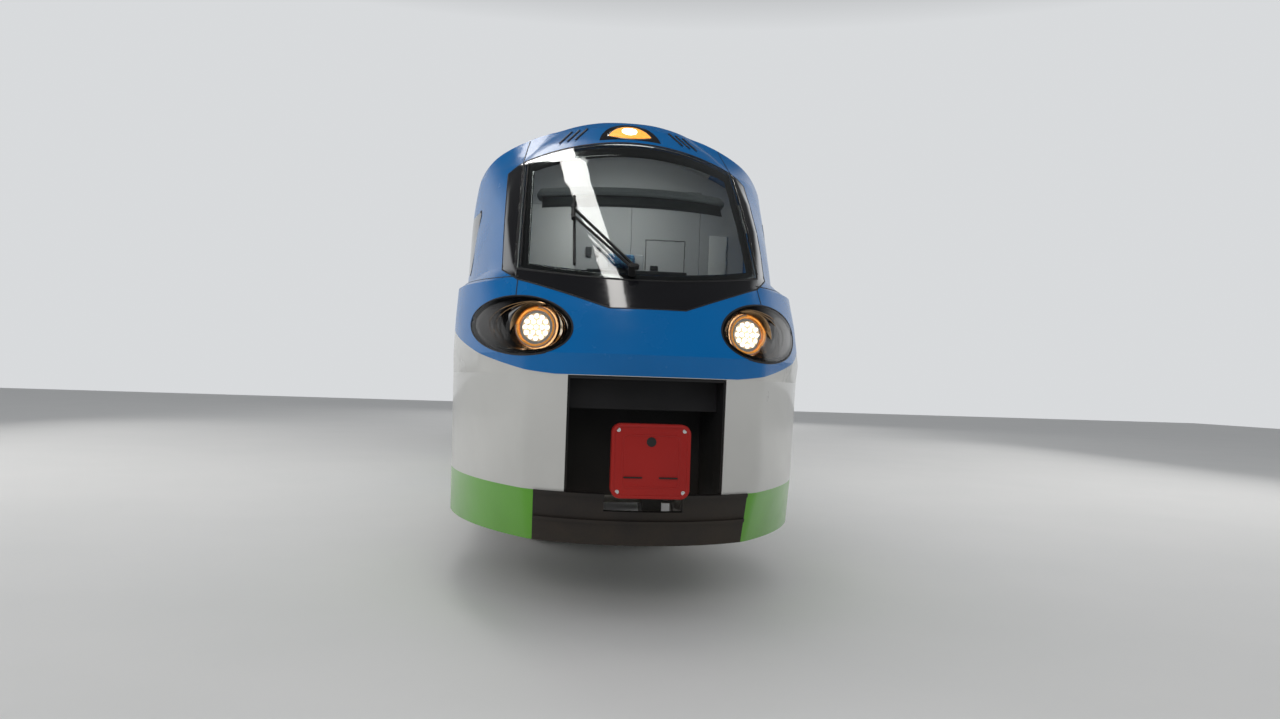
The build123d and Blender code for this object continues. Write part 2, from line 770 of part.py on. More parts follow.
def make_doors():
    """Two leaves with panes for each doorway."""
    leaves, panes = [], []
    x1 = HALF_WIDTH - MOVE
    x0 = x1 - LEAF_THICKNESS
    for start, end in doorways():
        middle = (start + end) / 2
        for y0, y1 in ((start + FIT, middle - 1), (middle + 1, end - FIT)):
            leaf = block(x0, x1, y0, y1, LOW_FLOOR + FIT, DOOR_HEAD - FIT)
            pane = (y0 + DOOR_PANE_SIDE, y1 - DOOR_PANE_SIDE,
                    LOW_FLOOR + DOOR_PANE_SILL, DOOR_HEAD - DOOR_PANE_HEAD)
            leaf -= pane_prism(*pane, x0 - 10, x1 + 10)
            panes.append(pane_prism(*pane, x1 - GLASS - DOOR_PANE_SINK, x1 - DOOR_PANE_SINK, FIT))
            leaves.append(leaf)
    save("doors_right", leaves)
    save("doors_left", [mirrored(leaf) for leaf in leaves])
    save("door_glass", panes + [mirrored(pane) for pane in panes])


def make_underframe():
    """High floors over the bogies, each with two side webs and a centre pivot."""
    x_in = HALF_WIDTH - WALL
    decks = []
    spans = (
        (CAB_LENGTH, LOW_START - FLOOR_DEPTH, BOGIE_FRONT),
        (LOW_END + FLOOR_DEPTH, BODY_LENGTH, BOGIE_REAR),
    )
    for y0, y1, centre in spans:
        deck = block(-x_in, x_in, y0, y1, HIGH_FLOOR - FLOOR_DEPTH, HIGH_FLOOR)
        for web in both(block(x_in - SOLE_WIDTH, x_in, y0, y1, SKIRT_TOP, HIGH_FLOOR)):
            deck += web
        drop = HIGH_FLOOR - FLOOR_DEPTH - PIVOT_BOTTOM
        pivot = Cylinder(PIVOT_RADIUS, drop, align=(Align.CENTER, Align.CENTER, Align.MIN))
        decks.append(deck + Pos(0, along(centre), up(PIVOT_BOTTOM)) * pivot)
    save("underframe", decks)


def stair_outline(wall, facing):
    """Side outline of a staircase: the end wall under the high floor, then treads down to the low floor."""
    rise = (HIGH_FLOOR - LOW_FLOOR) / STEP_COUNT
    back = wall - facing * FLOOR_DEPTH
    points = [(back, LOW_FLOOR), (back, HIGH_FLOOR), (wall, HIGH_FLOOR)]
    for i in range(1, STEP_COUNT):
        y = wall + facing * (i - 1) * STEP_TREAD
        points += [(y, HIGH_FLOOR - i * rise), (y + facing * STEP_TREAD, HIGH_FLOOR - i * rise)]
    points.append((wall + facing * (STEP_COUNT - 1) * STEP_TREAD, LOW_FLOOR))
    return points


def make_low_floor():
    """Low floor between the bogies, its stairs, and the sole bars under the side walls."""
    x_skirt = HALF_WIDTH - SKIRT_WALL
    x_sole = x_skirt - SOLE_WIDTH
    x_slab = x_skirt - SKIRT_TUCK - MOVE
    y0, y1 = LOW_START - FLOOR_DEPTH, LOW_END + FLOOR_DEPTH
    save("low_floor", block(-x_slab, x_slab, y0, y1, LOW_FLOOR - FLOOR_DEPTH, LOW_FLOOR))
    save("stairs", [across(stair_outline(wall, facing), -x_sole, x_sole)
                    for wall, facing in ((LOW_START, 1), (LOW_END, -1))])

    sole = block(x_sole, x_skirt, CAB_LENGTH, BODY_LENGTH, LOW_FLOOR, SKIRT_TOP)
    for start, end in doorways():
        sole -= block(*SIDE_CUT, start, end, 0, DOOR_HEAD)
        sill = (start - SILL_LAP, end + SILL_LAP, LOW_FLOOR - SILL_DEPTH, LOW_FLOOR)
        sole += block(x_slab, x_skirt - 2 * MOVE, *sill)
    save("sole_bars", both(sole))


def make_cab_floor():
    """Cab floor, cut to the nose, with the riser down to the high floor."""
    inner = nose_solid(CAB_WALL + FIT)
    slab = inner & block(-PAST_SIDE, PAST_SIDE, CAB_FLOOR_START, CAB_LENGTH,
                         CAB_FLOOR - FLOOR_DEPTH, CAB_FLOOR)
    riser = block(-HALF_WIDTH + WALL, HALF_WIDTH - WALL, CAB_LENGTH - 60, CAB_LENGTH,
                  HIGH_FLOOR - FLOOR_DEPTH, CAB_FLOOR - FLOOR_DEPTH)
    save("cab_floor", slab + riser)


def make_bulkhead():
    """Wall between cab and saloon with a hinged door."""
    y0 = CAB_LENGTH - BULKHEAD
    wall = section_prism(WALL + FIT, y0, CAB_LENGTH, z_low=CAB_FLOOR)
    x0, x1 = CAB_DOOR_X, CAB_DOOR_X + CAB_DOOR_WIDTH
    wall -= block(x0 - MOVE, x1 + MOVE, y0 - 10, CAB_LENGTH + 10, CAB_FLOOR - 10, CAB_DOOR_HEAD + MOVE)
    door = block(x0, x1, y0 + CAB_DOOR_SET_BACK, CAB_LENGTH, CAB_FLOOR + MOVE, CAB_DOOR_HEAD)
    pin_x, pin_y = x0 - MOVE / 2, CAB_LENGTH + HINGE_RADIUS + 2
    for middle in HINGE_HEIGHTS:
        z0, z1 = middle - HINGE_LENGTH / 2, middle + HINGE_LENGTH / 2
        door += hinge_barrel(pin_x, pin_y, z0, middle - FIT / 2)
        door += block(pin_x, x0 + HINGE_LEAF, CAB_LENGTH, pin_y - HINGE_RADIUS + 6, z0, middle - FIT / 2)
        wall += hinge_barrel(pin_x, pin_y, middle + FIT / 2, z1)
        wall += block(x0 - MOVE - HINGE_LEAF, pin_x, CAB_LENGTH, pin_y - HINGE_RADIUS + 6,
                      middle + FIT / 2, z1)
    save("cab_bulkhead", wall)
    save("cab_door", door)


def hinge_barrel(x, y, z0, z1):
    barrel = Cylinder(HINGE_RADIUS, z1 - z0, align=(Align.CENTER, Align.CENTER, Align.MIN))
    return Pos(x, along(y), up(z0)) * barrel


def make_desk():
    """Curved driver's desk with knee room in the middle."""
    back = DESK_FRONT + DESK_DEPTH
    z = up(CAB_FLOOR)

    def at(x, y):
        return (x, along(y), z)

    half, tail, inside = DESK_HALF, back + DESK_WING, DESK_HALF - DESK_WING_WIDTH
    edges = [
        ThreePointArc(at(-half, back), at(0, DESK_FRONT), at(half, back)),
        Line(at(half, back), at(half, tail)),
        Line(at(half, tail), at(inside, tail)),
        ThreePointArc(at(inside, tail), at(0, back - DESK_HOLLOW), at(-inside, tail)),
        Line(at(-inside, tail), at(-half, tail)),
        Line(at(-half, tail), at(-half, back)),
    ]
    desk = extrude(face_of(edges), amount=DESK_TOP - CAB_FLOOR, dir=(0, 0, 1))
    desk -= block(-KNEE_HALF, KNEE_HALF, DESK_FRONT + KNEE_START, tail, CAB_FLOOR, DESK_TOP - DESK_SLAB)
    hood = [
        (DESK_FRONT + 60, DESK_TOP), (DESK_FRONT + 60, DESK_TOP + 60),
        (DESK_FRONT + 110, DESK_TOP + HOOD_RISE), (DESK_FRONT + 330, DESK_TOP + HOOD_RISE - 20),
        (DESK_FRONT + 250, DESK_TOP),
    ]
    save("driver_desk", desk, across(hood, -HOOD_HALF, HOOD_HALF, HOOD_BLEND, (1, 2)))


def make_driver_seat():
    """Round base, and the soft cushion and back on it as one plain solid."""
    y, seat, top = SEAT_BASE_Y, CAB_FLOOR + CUSHION_TOP, CAB_FLOOR + BACK_TOP
    base = Cylinder(SEAT_BASE_RADIUS, SEAT_BASE_HEIGHT, align=(Align.CENTER, Align.CENTER, Align.MIN))
    save("driver_seat_base", Pos(0, along(y), up(CAB_FLOOR)) * base)
    cushion = block(-CUSHION_HALF, CUSHION_HALF, y - CUSHION_HALF, y + CUSHION_HALF,
                    CAB_FLOOR + SEAT_BASE_HEIGHT, seat)
    back = [(y + 180, seat), (y + 260, top), (y + 360, top), (y + 280, seat)]
    save("driver_seat", cushion + across(back, -BACK_HALF, BACK_HALF))


def make_seats():
    """Double seats along both sides, each on its pedestal."""
    pads, legs = [], []
    for y, floor, facing in SEAT_ROWS:
        profile = [(y - facing * ahead, floor + height) for ahead, height in SEAT_PROFILE]
        pads.append(across(profile, SEAT_INNER, SEAT_OUTER, SEAT_BLEND, (1, 2, 3)))
        x0, x1 = SEAT_INNER + PEDESTAL_INSET, SEAT_OUTER - PEDESTAL_INSET
        y0, y1 = sorted(y - facing * ahead for ahead in PEDESTAL_SPAN)
        legs.append(block(x0, x1, y0, y1, floor, floor + SEAT_FOOT))
    save("seats", pads + [mirrored(pad) for pad in pads])
    save("seat_pedestals", legs + [mirrored(leg) for leg in legs])


def make_racks():
    """Luggage shelves on the side walls, each with a raised lip and brackets below."""
    racks = []
    for start, end, z in RACKS:
        rack = block(RACK_INNER, HALF_WIDTH, start, end, z, z + RACK_THICK)
        rack += block(RACK_INNER, RACK_INNER + RACK_THICK, start, end, z, z + 2 * RACK_THICK)
        gusset = make_face(Polyline([
            (RACK_INNER + RACK_BRACKET_INSET, 0, up(z)), (HALF_WIDTH, 0, up(z)),
            (HALF_WIDTH, 0, up(z - RACK_BRACKET_DROP)),
        ], close=True))
        for y in (start + RACK_END_GAP, end - RACK_END_GAP):
            rack += Pos(0, along(y), 0) * extrude(gusset, amount=RACK_BRACKET, dir=(0, 1, 0))
        racks += both(rack & section_prism(WALL + FIT, CAB_LENGTH, BODY_LENGTH))
    save("luggage_racks", racks)


def make_poles():
    """Grab poles beside the doorways, from floor to ceiling, and the ceiling."""
    poles = []
    base = CEILING_HEIGHT - CEILING_DEPTH
    for start, end in doorways():
        for y in (start - POLE_GAP, end + POLE_GAP):
            pole = Cylinder(POLE_RADIUS, base - LOW_FLOOR, align=(Align.CENTER, Align.CENTER, Align.MIN))
            poles += both(Pos(POLE_X, along(y), up(LOW_FLOOR)) * pole)
    save("grab_poles", poles)
    slab = block(-PAST_SIDE, PAST_SIDE, CAB_LENGTH + FIT, BODY_LENGTH - WALL - FIT, base, CEILING_HEIGHT)
    save("ceiling", section_prism(WALL + FIT, CAB_LENGTH, BODY_LENGTH) & slab)


def coupler_bar(half, y0, y1, rise):
    """Bar along or across the car, centred on the coupler's line."""
    return block(-half, half, y0, y1, COUPLER_Z - rise, COUPLER_Z + rise)


def make_coupler():
    """Centre coupler in its recess, with its front cover and the beam that holds it."""
    pocket_end = RECESS_DEPTH + POCKET_DEPTH
    head = coupler_bar(HEAD_HALF, -COVER_BACK, HEAD_BACK, HEAD_RISE)
    head = fillet(head.edges().filter_by(Axis.Y), HEAD_CORNER)
    shank = Cylinder(SHANK_RADIUS, RECESS_DEPTH - HEAD_BACK, rotation=(-90, 0, 0),
                     align=(Align.CENTER, Align.CENTER, Align.MIN))
    pocket = coupler_bar(POCKET_HALF, RECESS_DEPTH, pocket_end, POCKET_HALF)
    save("coupler", head + Pos(0, along(HEAD_BACK), up(COUPLER_Z)) * shank + pocket)
    cover = coupler_bar(COVER_HALF, -COUPLER_REACH, -COVER_BACK, COVER_RISE)
    save("coupler_cover", fillet(cover.edges().filter_by(Axis.Y), COVER_CORNER))
    stem = coupler_bar(STEM_HALF, pocket_end, CAB_LENGTH - BULKHEAD, STEM_RISE)
    y0, y1 = (pocket_end + reach for reach in CROSSBAR_SPAN)
    save("coupler_beam", stem + coupler_bar(CROSSBAR_HALF, y0, y1, CROSSBAR_RISE))


def make_drawbar():
    """Drawbar to the next car, with its foot under the floor and the eye for its pin."""
    y0, y1 = (BODY_LENGTH - reach for reach in DRAWBAR_FOOT_SPAN)
    end, top = BODY_LENGTH + DRAWBAR_REACH, DRAWBAR_LOW + DRAWBAR_DEPTH
    rear = block(-DRAWBAR_HALF, DRAWBAR_HALF, y0, end, DRAWBAR_LOW, top)
    rear += block(-DRAWBAR_FOOT_HALF, DRAWBAR_FOOT_HALF, y0, y1, DRAWBAR_LOW, HIGH_FLOOR - FLOOR_DEPTH)
    bore = Cylinder(DRAWBAR_BORE, 3 * DRAWBAR_DEPTH)
    rear -= Pos(0, along(end - DRAWBAR_REACH / 2), up(top - DRAWBAR_DEPTH / 2)) * bore
    save("rear_drawbar", rear)


def make_wheelsets(name, centre):
    """Two axles with wheels and, where no motor drives them, brake discs, turned from one half outline."""
    x0 = GAUGE_BACK / 2
    r = WHEEL_RADIUS
    tread = x0 + WHEEL_WIDTH
    end = BEAM_X + BEAM_WIDTH / 2 - 20
    disc = [
        (DISC_X - DISC_WIDTH, AXLE_RADIUS), (DISC_X - DISC_WIDTH, HUB_RADIUS), (DISC_X, HUB_RADIUS),
        (DISC_X, DISC_RADIUS), (DISC_X + DISC_WIDTH, DISC_RADIUS), (DISC_X + DISC_WIDTH, AXLE_RADIUS),
    ]
    half = [
        (0, 0), (0, AXLE_RADIUS), *([] if name == POWERED else disc),
        (x0 - 20, AXLE_RADIUS), (x0 - 20, HUB_RADIUS), (x0 + 30, HUB_RADIUS + 20),
        (x0 + 20, r - 90), (x0, r - 75), (x0, r + FLANGE - 8), (x0 + 12, r + FLANGE),
        (x0 + 22, r + FLANGE - 4), (x0 + 38, r), (tread - 10, r - 6), (tread, r - 16), (tread, r - 75),
        (x0 + 60, r - 90),
        (x0 + 70, HUB_RADIUS + 20), (tread - 5, HUB_RADIUS), (tread - 5, AXLE_RADIUS),
        (x0 + 190, AXLE_RADIUS), (x0 + 200, JOURNAL_RADIUS), (end, JOURNAL_RADIUS), (end, 0),
    ]
    face = make_face(Polyline([(x, 0, radius) for x, radius in half], close=True))
    half_set = revolve(face, axis=Axis.X)
    wheelset = half_set + mirrored(half_set)
    for i, sign in enumerate((-1, 1)):
        save(f"wheelset_{name}_{i + 1}", Pos(0, along(centre + sign * WHEELBASE / 2), up(r)) * wheelset)


def side_frame(centre):
    """Side outline of the bogie frame's swan-necked beams, from box to box."""
    half = WHEELBASE / 2
    end, knee = half + FRAME_KNEE, half - FRAME_KNEE
    low, saddle, chop = FRAME_LOW_HALF, FRAME_SADDLE_HALF, FRAME_CHOP
    points = [
        (-end, FRAME_SEAT), (-knee, FRAME_SEAT), (-low, FRAME_DROP), (low, FRAME_DROP),
        (knee, FRAME_SEAT), (end, FRAME_SEAT), (end, FRAME_TOP - 40), (end - chop, FRAME_TOP),
        (knee + chop, FRAME_TOP), (saddle, AIR_SEAT), (-saddle, AIR_SEAT), (-knee - chop, FRAME_TOP),
        (chop - end, FRAME_TOP), (-end, FRAME_TOP - 40),
    ]
    return [(centre + y, z) for y, z in points]


def turned(outline, x, y, z):
    """Upright solid revolved from a half outline of (radius, height), standing at a place."""
    face = make_face(Polyline([(r, 0, h) for r, h in outline], close=True))
    return Pos(x, along(y), up(z)) * revolve(face, axis=Axis.Z)


def make_frame(name, centre):
    """Swan-necked side beams, two transoms and the bush for the centre pivot."""
    x0 = BEAM_X - BEAM_WIDTH / 2
    frame = across(side_frame(centre), x0, x0 + BEAM_WIDTH, FRAME_BLEND, (1, 2, 3, 4))
    frame += mirrored(frame)
    for dy in (-TRANSOM_REACH, TRANSOM_REACH):
        y = centre + dy
        frame += block(-x0, x0, y - TRANSOM, y + TRANSOM, FRAME_DROP + 20, AIR_SEAT - 20)
    y0, y1 = centre - TRANSOM_REACH, centre + TRANSOM_REACH
    bush = block(-BUSH_HALF, BUSH_HALF, y0, y1, FRAME_DROP + 40, AIR_SEAT - 40)
    hole = Cylinder(PIVOT_RADIUS + FIT, 400)
    save(f"bogie_frame_{name}", frame + (bush - Pos(0, along(centre), up(AIR_SEAT - 100)) * hole))


def make_axle_boxes(name, centre):
    """Bevelled axle boxes with round caps, and the waisted rubber springs on them."""
    r = WHEEL_RADIUS
    x0, x1 = BEAM_X - BEAM_WIDTH / 2, BEAM_X + BEAM_WIDTH / 2
    boxes, springs = [], []
    top = r + BOX_REACH
    gap = FRAME_SEAT - top
    corner = BOX_REACH * 0.45
    wide, waist = (SPRING_BULGE, SPRING_WAIST)
    ring = [
        (0, 0), (SPRING_RADIUS, 0), (wide, gap * 0.25), (waist, gap * 0.5), (wide, gap * 0.75),
        (SPRING_RADIUS, gap), (0, gap),
    ]
    for sign in (-1, 1):
        y = centre + sign * WHEELBASE / 2
        points = [
            (y - BOX_HALF, top), (y - BOX_HALF, r - corner), (y - BOX_HALF + corner, r - BOX_REACH),
            (y + BOX_HALF - corner, r - BOX_REACH), (y + BOX_HALF, r - corner), (y + BOX_HALF, top),
        ]
        box = across(points, x0, x1 + BOX_PROUD)
        cap = Cylinder(BOX_CAP_RADIUS, BOX_CAP_DEPTH, rotation=(0, 90, 0),
                       align=(Align.CENTER, Align.CENTER, Align.MIN))
        reach = x1 - 15
        bore = Cylinder(JOURNAL_RADIUS + FIT, reach, rotation=(0, 90, 0))
        box += Pos(x1 + BOX_PROUD, along(y), up(r)) * cap
        boxes += both(box - Pos(reach / 2, along(y), up(r)) * bore)
        springs += both(turned(ring, BEAM_X, y, top))
    save(f"axle_boxes_{name}", boxes)
    save(f"primary_springs_{name}", springs)


def make_air_springs(name, centre):
    """Air springs between the bogie frame and the floor, turned from one half outline."""
    rise = HIGH_FLOOR - FLOOR_DEPTH - FIT - AIR_SEAT
    bag = [
        (0, 0), (AIR_RADIUS - 70, 0), (AIR_RADIUS - 50, rise * 0.35), (AIR_RADIUS, rise * 0.42),
        (AIR_RADIUS + 12, rise * 0.6), (AIR_RADIUS, rise * 0.8), (AIR_RADIUS - 40, rise * 0.86),
        (AIR_RADIUS - 10, rise * 0.86), (AIR_RADIUS - 10, rise), (0, rise),
    ]
    save(f"air_springs_{name}", both(turned(bag, BEAM_X - AIR_INSET, centre, AIR_SEAT)))


def make_drives(name, centre):
    """Two chamfered motors, each with a gear case round its axle."""
    r = WHEEL_RADIUS
    drives = []
    for sign in (-1, 1):
        reaches = (WHEELBASE / 2 - MOTOR_REACH, WHEELBASE / 2 - MOTOR_GAP, WHEELBASE / 2)
        y0, y1, axle_y = (centre + sign * reach for reach in reaches)
        low, high, foot, top, chop = min(y0, y1), max(y0, y1), r - MOTOR_LOW, r + MOTOR_HIGH, MOTOR_CHOP
        shape = [
            (low + chop, foot), (high - chop, foot), (high, foot + chop), (high, top - chop),
            (high - chop, top), (low + chop, top), (low, top - chop), (low, foot + chop),
        ]
        motor = across(shape, -MOTOR_HALF, MOTOR_HALF)
        low, high = min(y1, axle_y) - GEAR_REACH, max(y1, axle_y) + GEAR_REACH
        case = block(*GEAR_X, low, high, r - GEAR_RISE, r + GEAR_RISE)
        case = fillet(case.edges().filter_by(Axis.X), GEAR_CORNER)
        bore = Cylinder(AXLE_RADIUS + FIT, 400, rotation=(0, 90, 0))
        drives.append(motor + (case - Pos(sum(GEAR_X) / 2, along(axle_y), up(r)) * bore))
    save(f"drives_{name}", drives)


def roof_case(y0, y1, half, rise):
    """Roof equipment case with chamfered shoulders and sloping ends."""
    crown = section_arcs(0)["crown"][1]
    low, high = crown - ROOF_SINK, crown + rise
    ends = across([(y0, low), (y1, low), (y1, high - ROOF_CHOP), (y1 - ROOF_CHOP, high),
                   (y0 + ROOF_CHOP, high), (y0, high - ROOF_CHOP)], -half, half)
    corners = [(-half, low), (half, low), (half, high - ROOF_CHOP), (half - ROOF_CHOP, high),
               (ROOF_CHOP - half, high), (-half, high - ROOF_CHOP)]
    spots = [flat(x, z) for x, z in corners]
    return ends & front_prism([Line(a, b) for a, b in zip(spots, spots[1:] + spots[:1])], y0 - 10, y1 + 10)


def make_roof_gear():
    """Equipment on the roof: air conditioning with its fans, converter boxes and side fairings."""
    crown = section_arcs(0)["crown"][1]
    skin = section_prism(-FIT, 0, BODY_LENGTH)
    start, end, half, rise = CONDITIONER
    conditioner = roof_case(*CONDITIONER)
    for share in FAN_CENTRES:
        well = Cylinder(FAN_RADIUS, 2 * FAN_DEPTH)
        conditioner -= Pos(0, along(start + share * (end - start)), up(crown + rise)) * well
    save("roof_hvac", conditioner - skin)
    save("roof_boxes", [roof_case(*row) - skin for row in ROOF_BOXES])
    y0, y1 = FAIRING
    low, high = crown - 2 * ROOF_SINK, crown + FAIRING_RISE
    outline = [(y0, low), (y1, low), (y1 - FAIRING_RAMP, high), (y0 + FAIRING_RAMP, high)]
    save("roof_fairings", both(across(outline, FAIRING_X, FAIRING_X + FAIRING_WALL) - skin))


def rod(start, end, radius):
    reach = end - start
    return extrude(Plane(origin=start, z_dir=reach) * Circle(radius), amount=reach.length)


def make_wiper():
    """Wiper parked on the windscreen: spindle, two parallel arms and an upright blade."""
    x0, z0 = WIPER_PIVOT
    x1, z1 = WIPER_JOINT
    foot, normal = skin_point(x0, z0, 0.8), skin_normal(x0, z0)
    wiper = rod(foot, foot + normal * (ARM_LIFT + 2 * ARM_RADIUS), SPINDLE_RADIUS)
    for shift in (0, ARM_GAP):
        start = skin_point(x0 + shift * 0.4, z0, ARM_LIFT)
        end = skin_point(x1, z1 + shift, ARM_LIFT)
        wiper += rod(start, end, ARM_RADIUS)
    blade = rod(skin_point(x1, BLADE_FOOT, BLADE_LIFT), skin_point(x1, BLADE_HEAD, BLADE_LIFT), ARM_RADIUS)
    hinge = rod(skin_point(x1, z1 - 30, ARM_LIFT), skin_point(x1, z1 + 100, ARM_LIFT), 1.5 * ARM_RADIUS)
    wiper += blade + hinge
    wiper += rod(skin_point(x1, z1, ARM_LIFT), skin_point(x1, z1, BLADE_LIFT - 5), ARM_RADIUS)
    save("wiper", wiper)


os.makedirs("parts", exist_ok=True)
make_cab()
make_apron()
make_headlamps()
make_body()
make_gangway()
make_doors()
make_underframe()
make_low_floor()
make_cab_floor()
make_bulkhead()
make_desk()
make_driver_seat()
make_seats()
make_racks()
make_poles()
make_coupler()
make_drawbar()
for bogie_name, bogie_centre in zip(BOGIE_NAMES, (BOGIE_FRONT, BOGIE_REAR)):
    make_wheelsets(bogie_name, bogie_centre)
    make_frame(bogie_name, bogie_centre)
    make_axle_boxes(bogie_name, bogie_centre)
    make_air_springs(bogie_name, bogie_centre)
make_drives(POWERED, BOGIE_FRONT)
make_roof_gear()
make_wiper()
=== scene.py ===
# %% [markdown]
# # Dressing a rail car
#
# The construction of this car comes ready made: every solid piece is already at its real size and in its
# real place. This lesson gives each surface its finish, and adds the pieces that are too fine for the solid
# model. Everything is in metres. X runs across the car, Y along it with the nose towards -Y, and Z up from
# the lowest point of the wheels. We load the model first and keep the size of its box, to compare it at the
# end.

# %% Load the model
import json
from math import atan2, cos, pi, radians, sin, sqrt

import bmesh
import bpy
from mathutils import Matrix, Vector
from mathutils.bvhtree import BVHTree

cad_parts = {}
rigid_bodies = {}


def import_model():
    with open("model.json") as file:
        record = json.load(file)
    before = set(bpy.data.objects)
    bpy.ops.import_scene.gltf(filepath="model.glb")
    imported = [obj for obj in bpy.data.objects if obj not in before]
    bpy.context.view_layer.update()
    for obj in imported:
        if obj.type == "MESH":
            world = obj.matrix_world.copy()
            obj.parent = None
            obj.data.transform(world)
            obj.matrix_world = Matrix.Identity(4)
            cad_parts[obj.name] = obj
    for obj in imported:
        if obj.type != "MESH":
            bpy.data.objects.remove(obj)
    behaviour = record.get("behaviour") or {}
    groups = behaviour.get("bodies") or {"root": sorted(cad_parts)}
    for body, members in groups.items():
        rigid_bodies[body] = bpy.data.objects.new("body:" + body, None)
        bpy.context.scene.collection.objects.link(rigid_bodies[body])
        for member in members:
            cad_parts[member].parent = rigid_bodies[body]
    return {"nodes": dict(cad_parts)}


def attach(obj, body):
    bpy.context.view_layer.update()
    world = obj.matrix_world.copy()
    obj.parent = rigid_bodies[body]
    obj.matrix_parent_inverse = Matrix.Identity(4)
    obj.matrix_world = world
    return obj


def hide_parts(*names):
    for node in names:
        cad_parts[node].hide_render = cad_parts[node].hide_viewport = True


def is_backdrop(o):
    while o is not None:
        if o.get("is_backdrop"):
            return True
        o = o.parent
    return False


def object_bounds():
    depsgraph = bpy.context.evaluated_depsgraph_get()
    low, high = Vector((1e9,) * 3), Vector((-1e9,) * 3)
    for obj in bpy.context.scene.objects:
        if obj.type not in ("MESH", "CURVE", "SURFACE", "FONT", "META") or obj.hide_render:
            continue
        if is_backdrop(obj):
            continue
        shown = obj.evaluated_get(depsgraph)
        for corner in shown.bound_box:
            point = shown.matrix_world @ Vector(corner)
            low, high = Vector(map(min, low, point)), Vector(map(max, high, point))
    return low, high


for stray in list(bpy.data.objects):
    bpy.data.objects.remove(stray)
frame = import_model()
scene = bpy.context.scene
nodes = frame["nodes"]
cad_low, cad_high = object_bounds()

def linked(name, data):
    """New object in the scene."""
    obj = bpy.data.objects.new(name, data)
    scene.collection.objects.link(obj)
    return obj

print("loaded", len(nodes), "nodes, box", cad_low, cad_high)

# %% [markdown]
# ## Camera
#
# The camera stands where the photographer stood: about 1.57 m above the rails, 5.8 m in front of the nose
# tip and left of the middle. Its three axes were worked out from the rails and from mirror points of the
# nose. A camera looks along its own -Z, so the third column of its turn is the view direction reversed.

# %% Camera
CAMERA_PLACE = Vector((-0.666, cad_low.y - 5.67, 1.569))
CAMERA_RIGHT = Vector((0.99425, -0.10214, 0.03227))
CAMERA_UP = Vector((-0.03470, -0.02204, 0.99915))
FOCAL_PIXELS = 925
PHOTO_WIDTH = 1280
PHOTO_HEIGHT = 719

scene.view_settings.view_transform = "Standard"
camera_data = bpy.data.cameras.new("camera")
camera_data.sensor_width = 36
camera_data.lens = FOCAL_PIXELS * camera_data.sensor_width / PHOTO_WIDTH
camera = linked("camera", camera_data)
turn = Matrix((CAMERA_RIGHT, CAMERA_UP, CAMERA_RIGHT.cross(CAMERA_UP))).transposed()
camera.matrix_world = Matrix.Translation(CAMERA_PLACE) @ turn.to_4x4()
scene.camera = camera
print("camera at", CAMERA_PLACE, "lens", round(camera_data.lens, 2))

# %% [markdown]
# ## Nodes and node groups
#
# A material is a small network. To keep the script readable, one helper adds a node, sets it and connects
# its inputs in a single call. A second helper starts a node group, which is a network that several
# materials share.

# %% Node helpers
def add(tree, kind, feed=None, **settings):
    """Add a node, set its properties and feed its inputs with values or with other nodes' sockets."""
    node = tree.nodes.new(kind)
    for key, value in settings.items():
        setattr(node, key, value)
    for key, value in (feed or {}).items():
        if isinstance(value, bpy.types.NodeSocket):
            tree.links.new(value, node.inputs[key])
        else:
            node.inputs[key].default_value = value
    return node


def math(tree, operation, a, b=0.0, c=0.0, clamp=False):
    return add(tree, "ShaderNodeMath", {0: a, 1: b, 2: c}, operation=operation, use_clamp=clamp).outputs[0]


def noise(tree, where, scale, detail=3.0, rough=0.55):
    feed = {"Vector": where, "Scale": scale, "Detail": detail, "Roughness": rough}
    return add(tree, "ShaderNodeTexNoise", feed).outputs["Fac"]


def ramp(tree, value, low, high, start=0.0, end=1.0):
    """Straight change from start to end while value goes from low to high, held at both ends."""
    feed = {"Value": value, "From Min": low, "From Max": high, "To Min": start, "To Max": end}
    return add(tree, "ShaderNodeMapRange", feed).outputs["Result"]


def mix(tree, share, a, b):
    node = add(tree, "ShaderNodeMix", data_type="RGBA")
    for socket, value in ((node.inputs["Factor"], share), (node.inputs[6], a), (node.inputs[7], b)):
        if isinstance(value, bpy.types.NodeSocket):
            tree.links.new(value, socket)
        else:
            socket.default_value = value
    return node.outputs[2]


def start_group(name, inputs, outputs):
    """New shader node group from tables of (name, kind, value) inputs and (name, kind) outputs."""
    tree = bpy.data.node_groups.new(name, "ShaderNodeTree")
    for label, kind, value in inputs:
        socket = tree.interface.new_socket(label, in_out="INPUT", socket_type="NodeSocket" + kind)
        if value is not None:
            socket.default_value = value
    for label, kind in outputs:
        tree.interface.new_socket(label, in_out="OUTPUT", socket_type="NodeSocket" + kind)
    return tree, tree.nodes.new("NodeGroupInput").outputs, tree.nodes.new("NodeGroupOutput").inputs


# %% [markdown]
# ## Shared effects
#
# Five effects come back in many finishes. Paint has a faint orange peel. Anything near the rails carries a
# film of brown brake dust that thins out with height. Machined steel has fine turning marks, seat cloth has
# a weave, and floors and laminates have speckles. Each is a group with named inputs, so every material sets
# its own sizes.

# %% Dust film
WHITE = (1.0, 1.0, 1.0, 1.0)
DUST = (0.085, 0.062, 0.042, 1.0)

